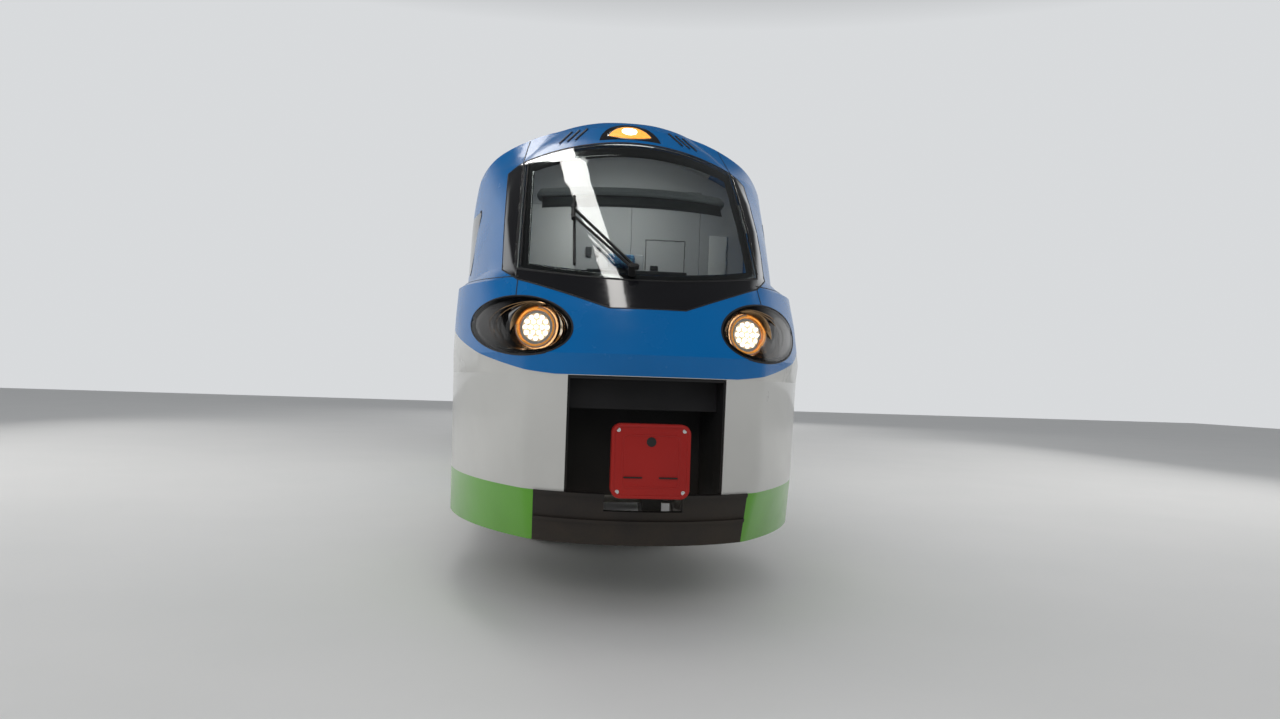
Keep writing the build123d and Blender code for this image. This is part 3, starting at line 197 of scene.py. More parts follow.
dust_film, given, result = start_group(
    "dust film",
    [("Vector", "Vector", None), ("Clean", "Color", WHITE), ("Top", "Float", 1.2),
     ("Amount", "Float", 0.5)],
    [("Color", "Color"), ("Mask", "Float")],
)
height = add(dust_film, "ShaderNodeSeparateXYZ", {0: given["Vector"]}).outputs["Z"]
low_down = ramp(dust_film, height, given["Top"], 0.0)
patches = ramp(dust_film, noise(dust_film, given["Vector"], 3.1, 6.0), 0.30, 0.70, 0.35, 1.0)
specks = ramp(dust_film, noise(dust_film, given["Vector"], 60.0, 2.0), 0.35, 0.65, 0.75, 1.0)
film = math(dust_film, "MULTIPLY", math(dust_film, "MULTIPLY", low_down, patches), specks)
film = math(dust_film, "MULTIPLY", film, given["Amount"], clamp=True)
dust_film.links.new(mix(dust_film, film, given["Clean"], DUST), result["Color"])
dust_film.links.new(film, result["Mask"])

# %% Orange peel
paint_skin, given, result = start_group(
    "paint skin",
    [("Vector", "Vector", None), ("Gloss", "Float", 0.3), ("Tone", "Float", 0.05)],
    [("Height", "Float"), ("Roughness", "Float"), ("Tone", "Float")],
)
peel = math(paint_skin, "ADD", noise(paint_skin, given["Vector"], 140.0, 1.0),
            noise(paint_skin, given["Vector"], 9.0, 2.0))
paint_skin.links.new(peel, result["Height"])
haze = ramp(paint_skin, noise(paint_skin, given["Vector"], 2.3, 5.0), 0.3, 0.7, 0.85, 1.2)
paint_skin.links.new(math(paint_skin, "MULTIPLY", haze, given["Gloss"]), result["Roughness"])
shade = ramp(paint_skin, noise(paint_skin, given["Vector"], 1.1, 4.0), 0.3, 0.7, 0.0, 1.0)
paint_skin.links.new(math(paint_skin, "MULTIPLY", shade, given["Tone"]), result["Tone"])

# %% Brushed and turned steel
brushed, given, result = start_group(
    "brushed steel",
    [("Vector", "Vector", None), ("Gloss", "Float", 0.3), ("Stretch", "Vector", (40.0, 900.0, 900.0))],
    [("Height", "Float"), ("Roughness", "Float"), ("Tone", "Float")],
)
drawn = add(brushed, "ShaderNodeVectorMath", {0: given["Vector"], 1: given["Stretch"]},
            operation="MULTIPLY")
lines = noise(brushed, drawn.outputs[0], 1.0, 3.0)
cloud = noise(brushed, given["Vector"], 5.0, 5.0)
brushed.links.new(lines, result["Height"])
spread = math(brushed, "MULTIPLY_ADD", lines, 0.5, ramp(brushed, cloud, 0.3, 0.7, 0.55, 1.0))
brushed.links.new(math(brushed, "MULTIPLY", spread, given["Gloss"]), result["Roughness"])
brushed.links.new(math(brushed, "MULTIPLY", lines, cloud), result["Tone"])

# %% Woven cloth
weave, given, result = start_group(
    "weave",
    [("Vector", "Vector", None), ("Threads", "Float", 700.0)],
    [("Height", "Float"), ("Fleck", "Float")],
)
spun = add(weave, "ShaderNodeSeparateXYZ", {0: given["Vector"]}).outputs
across = math(weave, "SINE", math(weave, "MULTIPLY", spun["X"], given["Threads"]))
along = math(weave, "SINE",
             math(weave, "MULTIPLY", math(weave, "ADD", spun["Y"], spun["Z"]), given["Threads"]))
weave.links.new(math(weave, "MAXIMUM", across, along), result["Height"])
weave.links.new(ramp(weave, noise(weave, given["Vector"], 55.0, 4.0), 0.52, 0.60), result["Fleck"])

# %% Speckles
speckle, given, result = start_group(
    "speckle",
    [("Vector", "Vector", None), ("Grain", "Float", 260.0), ("Share", "Float", 0.4)],
    [("Mask", "Float"), ("Height", "Float")],
)
cells = add(speckle, "ShaderNodeTexVoronoi", {"Vector": given["Vector"], "Scale": given["Grain"]})
pick = add(speckle, "ShaderNodeSeparateColor", {0: cells.outputs["Color"]}).outputs[0]
speckle.links.new(math(speckle, "LESS_THAN", pick, given["Share"]), result["Mask"])
speckle.links.new(noise(speckle, given["Vector"], 420.0, 2.0), result["Height"])
print("shared effects:", [group.name for group in bpy.data.node_groups])


# %% [markdown]
# ## Finishes
#
# A finish starts with a Principled surface and the object's own coordinates. Painted parts differ only in
# colour, gloss, clear coat and dust, so one function and a table make them all. Values that are the same
# all over a surface, such as the coat, are set on the surface itself.

# %% A bare finish
finishes = {}


def start_finish(name, slot, **surface):
    """New material with its Principled surface and object coordinates; slot is its finish in the record."""
    material = bpy.data.materials.new(name)
    material.use_nodes = True
    tree = material.node_tree
    skin = tree.nodes["Principled BSDF"]
    for key, value in surface.items():
        skin.inputs[key.replace("_", " ")].default_value = value
    where = add(tree, "ShaderNodeTexCoord").outputs["Object"]
    finishes[name] = (material, slot)
    return tree, skin, where


def use_group(tree, group, **feed):
    node = add(tree, "ShaderNodeGroup", node_tree=group)
    for key, value in feed.items():
        if isinstance(value, bpy.types.NodeSocket):
            tree.links.new(value, node.inputs[key])
        else:
            node.inputs[key].default_value = value
    return node.outputs


def bump(tree, skin, height, distance, strength=0.4):
    node = add(tree, "ShaderNodeBump", {"Height": height, "Distance": distance, "Strength": strength})
    tree.links.new(node.outputs["Normal"], skin.inputs["Normal"])


def rgb(red, green, blue):
    return (red, green, blue, 1.0)

def darker(colour, share):
    return rgb(*[share * part for part in colour[:3]])


# %% Painted finishes
def paint(name, slot, colour, shadow, gloss, coat, dust_top, dust_amount, peel_depth=0.0004):
    """Paint between two close tones, with orange peel and a film of dust low down."""
    tree, skin, where = start_finish(name, slot, Coat_Weight=coat, Coat_Roughness=0.06,
                                     Specular_IOR_Level=0.2)
    film = use_group(tree, paint_skin, Vector=where, Gloss=gloss, Tone=1.0)
    clean = mix(tree, film["Tone"], colour, shadow) if not callable(colour) else colour(tree, where, film)
    dust = use_group(tree, dust_film, Vector=where, Clean=clean, Top=dust_top, Amount=dust_amount)
    tree.links.new(dust["Color"], skin.inputs["Base Color"])
    rough = math(tree, "MULTIPLY_ADD", dust["Mask"], 0.5, film["Roughness"], clamp=True)
    tree.links.new(rough, skin.inputs["Roughness"])
    bump(tree, skin, film["Height"], peel_depth, 0.25)


BLUE = rgb(0.000, 0.150, 0.450)
BLUE_SHADE = rgb(0.000, 0.134, 0.405)
PALE = rgb(0.60, 0.60, 0.58)
PALE_SHADE = rgb(0.54, 0.54, 0.52)
GREEN = rgb(0.115, 0.400, 0.020)
GREEN_SHADE = rgb(0.095, 0.350, 0.016)
BAND = rgb(0.012, 0.014, 0.018)

# name, record's slot, colour, second tone, gloss, coat, dust top, dust amount
PAINTS = (
    ("door blue", "paint_blue", BLUE, BLUE_SHADE, 0.28, 0.5, 1.2, 0.05),
    ("pale grey", "paint_white", PALE, PALE_SHADE, 0.32, 0.5, 1.3, 0.15),
    ("skirt green", "paint_green", GREEN, GREEN_SHADE, 0.30, 0.6, 1.0, 0.35),
    ("mask black", "mask_black", rgb(0.006, 0.006, 0.008), rgb(0.010, 0.010, 0.012), 0.12, 1.0, 1.0, 0.0),
    ("cover red", "cover_red", rgb(0.380, 0.012, 0.008), rgb(0.310, 0.010, 0.008), 0.35, 0.2, 1.0, 0.2),
    ("frame black", "black_steel", rgb(0.018, 0.018, 0.020), rgb(0.028, 0.027, 0.026), 0.50, 0.0, 1.3, 0.8),
    ("bogie grey", "bogie_grey", rgb(0.085, 0.090, 0.095), rgb(0.065, 0.068, 0.072), 0.45, 0.1, 1.3, 0.9),
    ("spring black", "spring_steel", rgb(0.035, 0.035, 0.036), rgb(0.050, 0.048, 0.046), 0.35, 0.3, 1.3,
     0.6),
    ("seat shell grey", "seat_frame", rgb(0.24, 0.25, 0.26), rgb(0.20, 0.21, 0.22), 0.40, 0.1, 1.0, 0.05),
    ("roof grey", "roof_grey", rgb(0.30, 0.31, 0.32), rgb(0.25, 0.26, 0.27), 0.50, 0.0, 1.0, 0.0),
    ("wiper black", "wiper_black", rgb(0.012, 0.012, 0.013), rgb(0.018, 0.018, 0.018), 0.40, 0.1, 1.0, 0.0),
)
for row in PAINTS:
    paint(*row)

# %% [markdown]
# ## The car's colours
#
# The nose is blue and the sides are pale with a dark band at the windows. On the real car the blue runs on
# round the corner and ends in a slanted edge behind the cab. The same slanted edge has to cross the cab,
# the walls and the roof, so it is a mask worked out from the place of each point, not a seam in the mesh.
# Below the blue, the pale paint starts at the chin and its edge rises towards the back.

# %% Side and roof livery
BLUE_END = -5.9
BLUE_SLANT = 0.62
BAND_LOW = 1.545
BAND_HIGH = 2.700
STRIPE_GAP = 0.10
CHIN_EDGE = 1.612
CHIN_START = -10.05
CHIN_SLOPE = 0.208
ROOF_EDGE = 3.62


def sweep_edge(tree, where, shift=0.0):
    """1 in front of the slanted edge that ends the blue, 0 behind it."""
    spot = add(tree, "ShaderNodeSeparateXYZ", {0: where}).outputs
    edge = math(tree, "MULTIPLY_ADD", spot["Z"], BLUE_SLANT, BLUE_END - 1.2 * BLUE_SLANT + shift)
    return math(tree, "LESS_THAN", spot["Y"], edge), spot["Z"]


def above_chin(tree, where):
    """1 above the rising lower edge of the blue, 0 below it."""
    spot = add(tree, "ShaderNodeSeparateXYZ", {0: where}).outputs
    behind = math(tree, "MAXIMUM", math(tree, "SUBTRACT", spot["Y"], CHIN_START), 0.0)
    edge = math(tree, "MULTIPLY_ADD", behind, CHIN_SLOPE, CHIN_EDGE)
    return math(tree, "GREATER_THAN", spot["Z"], edge)


def nose_colours(tree, where, film):
    pale = mix(tree, film["Tone"], PALE, PALE_SHADE)
    return mix(tree, above_chin(tree, where), pale, mix(tree, film["Tone"], BLUE, BLUE_SHADE))


def side_colours(tree, where, film):
    front, z = sweep_edge(tree, where)
    stripe, z = sweep_edge(tree, where, STRIPE_GAP)
    band = math(tree, "MULTIPLY", math(tree, "GREATER_THAN", z, BAND_LOW),
                math(tree, "LESS_THAN", z, BAND_HIGH))
    pale = mix(tree, film["Tone"], PALE, PALE_SHADE)
    coloured = mix(tree, band, pale, BAND)
    coloured = mix(tree, stripe, coloured, GREEN)
    front_colour = mix(tree, above_chin(tree, where), pale, BLUE)
    return mix(tree, front, coloured, front_colour)


def roof_colours(tree, where, film):
    front, z = sweep_edge(tree, where)
    stripe, z = sweep_edge(tree, where, STRIPE_GAP)
    side = math(tree, "LESS_THAN", z, ROOF_EDGE)
    top = mix(tree, side, mix(tree, film["Tone"], rgb(0.34, 0.35, 0.36), rgb(0.28, 0.29, 0.30)), PALE)
    return mix(tree, front, mix(tree, stripe, top, GREEN), BLUE)


paint("nose livery", "paint_blue", nose_colours, None, 0.24, 0.2, 1.2, 0.04)
paint("side livery", "paint_white", side_colours, None, 0.30, 0.4, 1.3, 0.12)
paint("roof livery", "paint_white", roof_colours, None, 0.40, 0.3, 1.3, 0.0)
print("painted finishes:", len(finishes))

# %% [markdown]
# ## Glass, lenses and metal
#
# Window glass is real glass with thickness, so it keeps a full transmission and only its tint differs. The
# lamp lens is clear. Steel is metallic with turning marks that mix a bright and a dull tone, and the wheels
# carry a film of brake dust low down.

# %% Glass
def glass(name, slot, tint, rough=0.0, ior=1.45, shine=0.5):
    tree, skin, where = start_finish(name, slot, Transmission_Weight=1.0, IOR=ior, Specular_IOR_Level=shine)
    streaks = ramp(tree, noise(tree, where, 1.7, 5.0), 0.35, 0.75, rough, rough + 0.03)
    tree.links.new(streaks, skin.inputs["Roughness"])
    tone = mix(tree, noise(tree, where, 0.8, 2.0), tint, darker(tint, 0.93))
    tree.links.new(tone, skin.inputs["Base Color"])


glass("screen glass", "glass_clear", rgb(0.78, 0.83, 0.82))
glass("tinted glass", "glass_tint", rgb(0.16, 0.18, 0.19))
glass("lens", "lamp_glass", rgb(0.55, 0.54, 0.53), ior=1.16, shine=0.3)


# %% Bare metal
def metal(name, slot, colour, dull, gloss, stretch, dust_top=0.0, dust_amount=0.0, depth=0.0002):
    tree, skin, where = start_finish(name, slot, Metallic=1.0)
    marks = use_group(tree, brushed, Vector=where, Gloss=gloss, Stretch=stretch)
    tone = mix(tree, marks["Tone"], colour, dull)
    dust = use_group(tree, dust_film, Vector=where, Clean=tone, Top=dust_top, Amount=dust_amount)
    tree.links.new(dust["Color"], skin.inputs["Base Color"])
    tree.links.new(math(tree, "MULTIPLY_ADD", dust["Mask"], 0.45, marks["Roughness"]),
                   skin.inputs["Roughness"])
    tree.links.new(math(tree, "SUBTRACT", 1.0, dust["Mask"], clamp=True), skin.inputs["Metallic"])
    bump(tree, skin, marks["Height"], depth)


metal("pole steel", "pole_steel", rgb(0.62, 0.61, 0.59), rgb(0.45, 0.45, 0.44), 0.30, (900.0, 900.0, 30.0))
metal("bright trim", "pole_steel", rgb(0.70, 0.70, 0.69), rgb(0.55, 0.55, 0.55), 0.25, (60.0, 60.0, 900.0))
metal("reflector", "lamp_unit", rgb(0.88, 0.86, 0.80), rgb(0.80, 0.76, 0.68), 0.08, (20.0, 20.0, 20.0))
metal("bronze", "lamp_unit", rgb(0.42, 0.26, 0.13), rgb(0.30, 0.18, 0.09), 0.16, (20.0, 20.0, 20.0))
metal("wheel steel", "wheel_steel", rgb(0.46, 0.43, 0.40), rgb(0.24, 0.20, 0.17), 0.42,
      (900.0, 30.0, 30.0), 0.9, 0.6)


# %% Rubber, laminate, floor and cloth
def moulded(name, slot, colour, second, share, rough, grain=260.0, depth=0.0003):
    """Plastic, rubber or laminate: one tone with specks of a second, and a fine grain."""
    tree, skin, where = start_finish(name, slot)
    specks = use_group(tree, speckle, Vector=where, Grain=grain, Share=share)
    tree.links.new(mix(tree, specks["Mask"], colour, second), skin.inputs["Base Color"])
    tree.links.new(ramp(tree, noise(tree, where, 6.0, 4.0), 0.3, 0.7, rough - 0.06, rough + 0.08),
                   skin.inputs["Roughness"])
    bump(tree, skin, specks["Height"], depth, 0.3)


# name, record's slot, colour, speck colour, share of specks, roughness
MOULDED = (
    ("gasket rubber", "spring_rubber", rgb(0.014, 0.014, 0.015), rgb(0.020, 0.020, 0.021), 0.3, 0.62),
    ("bellows cloth", "bellows_rubber", rgb(0.022, 0.022, 0.024), rgb(0.034, 0.034, 0.036), 0.4, 0.75),
    ("white laminate", "interior_white", rgb(0.62, 0.63, 0.62), rgb(0.57, 0.58, 0.57), 0.3, 0.38),
    ("cab grey", "interior_white", rgb(0.40, 0.41, 0.42), rgb(0.36, 0.37, 0.38), 0.3, 0.45),
    ("desk plastic", "desk_grey", rgb(0.050, 0.053, 0.058), rgb(0.064, 0.067, 0.072), 0.4, 0.55),
    ("floor vinyl", "floor_vinyl", rgb(0.10, 0.11, 0.12), rgb(0.26, 0.27, 0.28), 0.12, 0.50),
    ("button yellow", "cover_red", rgb(0.75, 0.50, 0.02), rgb(0.68, 0.45, 0.02), 0.2, 0.35),
    ("button green", "paint_green", rgb(0.04, 0.42, 0.08), rgb(0.03, 0.36, 0.07), 0.2, 0.35),
)
for row in MOULDED:
    moulded(*row)


def cloth(name, colour, fleck):
    tree, skin, where = start_finish(name, "seat_blue", Roughness=0.92, Sheen_Weight=0.25)
    threads = use_group(tree, weave, Vector=where, Threads=1900.0)
    tone = mix(tree, noise(tree, where, 7.0, 5.0), colour, darker(colour, 0.7))
    tree.links.new(mix(tree, threads["Fleck"], tone, fleck), skin.inputs["Base Color"])
    bump(tree, skin, threads["Height"], 0.0006, 0.5)


cloth("seat cloth", rgb(0.018, 0.070, 0.190), rgb(0.06, 0.26, 0.34))
cloth("headrest cloth", rgb(0.050, 0.052, 0.056), rgb(0.09, 0.09, 0.10))
print("finishes:", len(finishes))


# %% Lamps that glow
def glow(name, slot, colour, strength):
    """Lit diffuser: the light is a little stronger in the middle of each cell of its lens."""
    tree, skin, where = start_finish(name, slot, Roughness=0.3, Emission_Strength=strength)
    cells = add(tree, "ShaderNodeTexVoronoi", {"Vector": where, "Scale": 70.0}).outputs["Distance"]
    lit = mix(tree, ramp(tree, cells, 0.1, 0.8), colour, darker(colour, 0.72))
    tree.links.new(lit, skin.inputs["Emission Color"])
    tree.links.new(lit, skin.inputs["Base Color"])


glow("lamp white", "lamp_unit", rgb(1.0, 0.92, 0.78), 6.0)
glow("lamp warm", "lamp_unit", rgb(1.0, 0.84, 0.58), 0.9)
glow("lamp amber", "lamp_unit", rgb(1.0, 0.40, 0.06), 1.1)
glow("cabin light", "lamp_glass", rgb(0.95, 0.97, 1.0), 1.2)
glow("screen blue", "lamp_glass", rgb(0.05, 0.16, 0.26), 0.6)

# %% [markdown]
# ## Finishes for the solid pieces
#
# Each node of the model already carries one material. We swap it for the finish of the same part of the
# real car.

# %% Assign the finishes
NODE_FINISHES = {
    "nose livery": ["cab_shell"],
    "door blue": ["doors_left", "doors_right"],
    "pale grey": ["nose_panel", "rear_end_wall", "roof_fairings"],
    "side livery": ["side_wall_left", "side_wall_right"],
    "roof livery": ["roof_shell"],
    "skirt green": ["nose_skirts", "side_skirts"],
    "mask black": ["quarter_glass", "mask_panel", "top_lamp"],
    "screen glass": ["windscreen"],
    "lens": ["headlamp_covers"],
    "reflector": ["headlamps"],
    "tinted glass": ["cab_side_glass", "side_glass", "door_glass"],
    "gasket rubber": ["air_springs_front", "air_springs_rear", "headlamp_housings"],
    "frame black": ["front_apron", "underframe", "sole_bars", "coupler", "coupler_beam", "rear_drawbar"],
    "cover red": ["coupler_cover"],
    "bellows cloth": ["gangway_bellows"],
    "floor vinyl": ["cab_floor", "low_floor", "stairs"],
    "cab grey": ["cab_bulkhead", "cab_door"],
    "white laminate": ["ceiling"],
    "desk plastic": ["driver_desk"],
    "seat shell grey": ["driver_seat_base", "seat_pedestals"],
    "seat cloth": ["driver_seat", "seats"],
    "pole steel": ["grab_poles", "luggage_racks"],
    "roof grey": ["roof_hvac", "roof_boxes"],
    "wiper black": ["wiper"],
    "bogie grey": ["bogie_frame_front", "bogie_frame_rear", "axle_boxes_front", "axle_boxes_rear",
                   "drives_front"],
    "spring black": ["primary_springs_front", "primary_springs_rear"],
    "wheel steel": ["wheelset_front_1", "wheelset_front_2", "wheelset_rear_1", "wheelset_rear_2"],
}
for finish, names in NODE_FINISHES.items():
    for name in names:
        nodes[name].data.materials.clear()
        nodes[name].data.materials.append(finishes[finish][0])
print("nodes given a finish:", sum(len(names) for names in NODE_FINISHES.values()))

# %% [markdown]
# ## Softer shading on the nose
#
# The curved skin of the nose is made of flat facets, and a glossy surface shows each of them. A small
# Geometry Nodes tree welds the facets, drops their flat normals and keeps only real edges sharp. The
# solid's own mesh stays as it is.

# %% Shade the nose smooth
SHARP_EDGE = radians(24)
soft_tree = bpy.data.node_groups.new("soft shading", "GeometryNodeTree")
soft_tree.interface.new_socket("Solid", in_out="INPUT", socket_type="NodeSocketGeometry")
soft_tree.interface.new_socket("Shaded", in_out="OUTPUT", socket_type="NodeSocketGeometry")
solid = soft_tree.nodes.new("NodeGroupInput").outputs[0]
plain = add(soft_tree, "GeometryNodeRemoveAttribute", {0: solid, "Name": "custom_normal"})
welded = add(soft_tree, "GeometryNodeMergeByDistance", {0: plain.outputs[0], "Distance": 0.00005})
smooth = add(soft_tree, "GeometryNodeSetShadeSmooth", {0: welded.outputs[0], "Shade Smooth": True})
fold = add(soft_tree, "GeometryNodeInputMeshEdgeAngle").outputs["Unsigned Angle"]
sharp = add(soft_tree, "FunctionNodeCompare", {0: fold, 1: SHARP_EDGE}, operation="GREATER_THAN").outputs[0]
edged = add(soft_tree, "GeometryNodeSetShadeSmooth",
            {0: smooth.outputs[0], "Selection": sharp, "Shade Smooth": False},
            domain="EDGE")
soft_tree.links.new(edged.outputs[0], soft_tree.nodes.new("NodeGroupOutput").inputs[0])
SOFT_NODES = ("cab_shell", "nose_panel", "nose_skirts", "windscreen", "quarter_glass", "mask_panel",
              "headlamp_covers", "top_lamp")
for name in SOFT_NODES:
    nodes[name].modifiers.new("soft shading", "NODES").node_group = soft_tree
print("shaded smooth:", len(SOFT_NODES), "nodes")

# %% [markdown]
# ## Finding the skin
#
# Seals, seams and trims must lie exactly on the nose, which is curved both ways. Instead of working out its
# shape again, we shoot straight rays at the solid model and use the points where they hit, with the
# direction that the skin faces there. A search tree makes that quick.

# %% Rays at the skin
def skin_tree(*names):
    places, faces = [], []
    for name in names:
        start = len(places)
        places += [vertex.co.copy() for vertex in nodes[name].data.vertices]
        faces += [[start + i for i in face.vertices] for face in nodes[name].data.polygons]
    return BVHTree.FromPolygons(places, faces)


NOSE_PIECES = ("cab_shell", "nose_panel", "nose_skirts", "front_apron", "windscreen", "quarter_glass",
               "mask_panel", "headlamp_covers", "top_lamp", "cab_side_glass")
nose_skin = skin_tree(*NOSE_PIECES)
body_skin = skin_tree("side_wall_left", "side_wall_right", "roof_shell", "side_skirts", "side_glass",
                      "rear_end_wall", *NOSE_PIECES)
FAR = 6.0


def hit(tree, start, direction, lift=0.0):
    """First point of the skin along a ray, lifted off it, and the direction that the skin faces."""
    place, outward, _, _ = tree.ray_cast(Vector(start), Vector(direction))
    if place is None:
        raise ValueError(f"a ray from {tuple(start)} misses the skin")
    if outward.dot(Vector(direction)) > 0:
        outward = -outward
    return place + outward * lift, outward


def on_front(x, z, lift=0.0):
    return hit(nose_skin, (x, cad_low.y - 1, z), (0, 1, 0), lift)


def on_side(y, z, side, lift=0.0):
    return hit(body_skin, (side * FAR, y, z), (-side, 0, 0), lift)


def on_top(x, y, lift=0.0):
    return hit(body_skin, (x, y, cad_high.z + 1), (0, 0, -1), lift)


NOSE_MIDDLE = cad_low.y + 3.3


def around(angle, z, lift=0.0):
    """Point of the nose at a height, seen from an angle round it: 0 is the front and 90 the right-hand side."""
    out = Vector((sin(radians(angle)), -cos(radians(angle)), 0))
    return hit(nose_skin, Vector((0, NOSE_MIDDLE, z)) + out * FAR, -out, lift)


def under_pixel(px, py, lift=0.0):
    """Point of the nose that shows at a pixel of the photograph."""
    right, rise = (px - PHOTO_WIDTH / 2) / FOCAL_PIXELS, (PHOTO_HEIGHT / 2 - py) / FOCAL_PIXELS
    forward = CAMERA_UP.cross(CAMERA_RIGHT)
    return hit(nose_skin, CAMERA_PLACE, forward + CAMERA_RIGHT * right + CAMERA_UP * rise, lift)


def mirrored(path):
    return [(Vector((-place.x, place.y, place.z)), Vector((-out.x, out.y, out.z))) for place, out in path]


print("skin in the middle at eye height:", on_front(0, 1.6)[0])


# %% [markdown]
# ## Making pieces
#
# A piece is built in a bmesh, which is Blender's editable mesh, from a few basic moves: a section carried
# along a path, a profile turned round an axis, a box with rounded edges, and a sheet through rows of
# points. When it is done it becomes an object at the origin, gets its finish, and is told which moving body
# it rides on.

# %% Sections carried along a path
def sweep(bm, path, section, closed=False):
    """Carry a closed section, given as (across, out) pairs, along a path of (place, outward) pairs."""
    rings = []
    count = len(path)
    for i, (place, out) in enumerate(path):
        after = path[(i + 1) % count][0] if closed or i + 1 < count else place
        before = path[i - 1][0] if closed or i else place
        ahead = (after - before).normalized()
        side = ahead.cross(out).normalized()
        rings.append([bm.verts.new(place + side * a + out * b) for a, b in section])
    pairs = list(zip(rings, rings[1:])) + ([(rings[-1], rings[0])] if closed else [])
    for one, two in pairs:
        for k in range(len(section)):
            j = (k + 1) % len(section)
            bm.faces.new((one[k], one[j], two[j], two[k]))
    if not closed:
        bm.faces.new(rings[0])
        bm.faces.new(list(reversed(rings[-1])))


def bead(width, proud, sunk=0.004):
    """Rounded section of a rubber seal or trim strip that stands proud of the skin and is rooted in it."""
    w = width / 2
    return [(-w, -sunk), (-w, proud * 0.5), (-0.6 * w, proud), (0.6 * w, proud), (w, proud * 0.5),
            (w, -sunk)]


def round_section(radius, count=10):
    return [(radius * cos(2 * pi * i / count), radius * sin(2 * pi * i / count)) for i in range(count)]


def tube(bm, points, radius, count=10):
    """Round bar through points, with an outward direction that can't line up with any run of it."""
    places = [Vector(point) for point in points]
    runs = [(b - a).normalized() for a, b in zip(places, places[1:])]
    out = min((Vector((1, 0, 0)), Vector((0, 1, 0)), Vector((0, 0, 1))),
              key=lambda axis: max(abs(axis.dot(run)) for run in runs))
    path = []
    for i, place in enumerate(places):
        ahead = (runs[min(i, len(runs) - 1)] + runs[max(i - 1, 0)]).normalized()
        path.append((place, (out - ahead * out.dot(ahead)).normalized()))
    sweep(bm, path, round_section(radius, count))


# %% Turned pieces, blocks and sheets
ORIGIN = (0, 0, 0)
UP = (0, 0, 1)
ACROSS = (1, 0, 0)

def axis_frame(centre, direction):
    """Matrix that puts +Z along a direction at a centre."""
    return Matrix.Translation(centre) @ Vector(direction).to_track_quat("Z", "Y").to_matrix().to_4x4()


def turned(bm, profile, centre, direction, count=32):
    """Turn a profile of (radius, height) pairs round an axis; radius 0 closes it in a point."""
    place = axis_frame(centre, direction)
    rings = []
    for radius, height in profile:
        sides = 1 if radius == 0 else count
        rings.append([bm.verts.new(place @ Vector((radius * cos(2 * pi * i / sides),
                                                   radius * sin(2 * pi * i / sides), height)))
                      for i in range(sides)])
    for one, two in zip(rings, rings[1:]):
        for i in range(count):
            j = (i + 1) % count
            corners = [one[i % len(one)], one[j % len(one)], two[j % len(two)], two[i % len(two)]]
            corners = list(dict.fromkeys(corners))
            if len(corners) > 2:
                bm.faces.new(corners)


def block(bm, low, high, edge=0.004, segments=2, turn=None):
    """Box between two corners with rounded edges; turn is a matrix that places it."""
    low, high = Vector(low), Vector(high)
    size = high - low
    made = bmesh.ops.create_cube(bm, size=1.0)["verts"]
    bmesh.ops.transform(bm, matrix=Matrix.Translation((low + high) / 2) @ Matrix.Diagonal((*size, 1)),
                        verts=made)
    if edge:
        edges = list({e for v in made for e in v.link_edges})
        grown = bmesh.ops.bevel(bm, geom=edges, offset=min(edge, 0.45 * min(size)), segments=segments,
                                affect="EDGES", profile=0.5)
        made = list({v for f in grown["faces"] for v in f.verts} | {v for v in made if v.is_valid})
    if turn is not None:
        bmesh.ops.transform(bm, matrix=turn, verts=made)


def sheet_rows(bm, rows, closed=False):
    """Skin through rows of points with as many points in each row."""
    grid = [[bm.verts.new(place) for place in row] for row in rows]
    for one, two in zip(grid, grid[1:]):
        for i in range(len(one) - (0 if closed else 1)):
            j = (i + 1) % len(one)
            bm.faces.new((one[i], one[j], two[j], two[i]))
    return grid


# %% From bmesh to finished piece
def give(obj, finish, body="car"):
    """Put a finish on a piece and let it ride on a body."""
    material, slot = finishes[finish]
    obj.data.materials.clear()
    obj.data.materials.append(material)
    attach(obj, body)
    return obj


def piece(name, bm, finish, body="car", wall=0.0, crease=38):
    """Finished piece from a bmesh; wall gives an open sheet its thickness."""
    bmesh.ops.recalc_face_normals(bm, faces=bm.faces)
    mesh = bpy.data.meshes.new(name)
    bm.to_mesh(mesh)
    bm.free()
    mesh.shade_smooth()
    mesh.set_sharp_from_angle(angle=radians(crease))
    obj = linked(name, mesh)
    if wall:
        obj.modifiers.new("wall", "SOLIDIFY").thickness = wall
    return give(obj, finish, body)


# %% [markdown]
# ## Repeats by Geometry Nodes
#
# Bolts, lamp dots, slats and links are one small shape many times over. A Geometry Nodes tree sets a copy
# of an item on each point of a mesh, turned to face the way that the point's "facing" attribute says. The
# tree makes the copies real and gives them their material, and we then keep the result as a plain mesh.

# %% A tree that sets copies on points
copies_tree = bpy.data.node_groups.new("copies on points", "GeometryNodeTree")
for label, kind in (("Points", "NodeSocketGeometry"), ("Item", "NodeSocketObject"),
                    ("Material", "NodeSocketMaterial")):
    copies_tree.interface.new_socket(label, in_out="INPUT", socket_type=kind)
copies_tree.interface.new_socket("Pieces", in_out="OUTPUT", socket_type="NodeSocketGeometry")
given = copies_tree.nodes.new("NodeGroupInput").outputs
item = add(copies_tree, "GeometryNodeObjectInfo", {"Object": given["Item"]}).outputs["Geometry"]
facing = add(copies_tree, "GeometryNodeInputNamedAttribute", {"Name": "facing"}, data_type="FLOAT_VECTOR")
heading = add(copies_tree, "GeometryNodeInputNamedAttribute", {"Name": "heading"}, data_type="FLOAT_VECTOR")
stood = add(copies_tree, "FunctionNodeAlignRotationToVector", {"Vector": facing.outputs[0]}, axis="Z")
aimed = add(copies_tree, "FunctionNodeAlignRotationToVector",
            {"Rotation": stood.outputs[0], "Vector": heading.outputs[0]}, axis="X", pivot_axis="Z")
placed = add(copies_tree, "GeometryNodeInstanceOnPoints",
             {"Points": given["Points"], "Instance": item, "Rotation": aimed.outputs[0]})
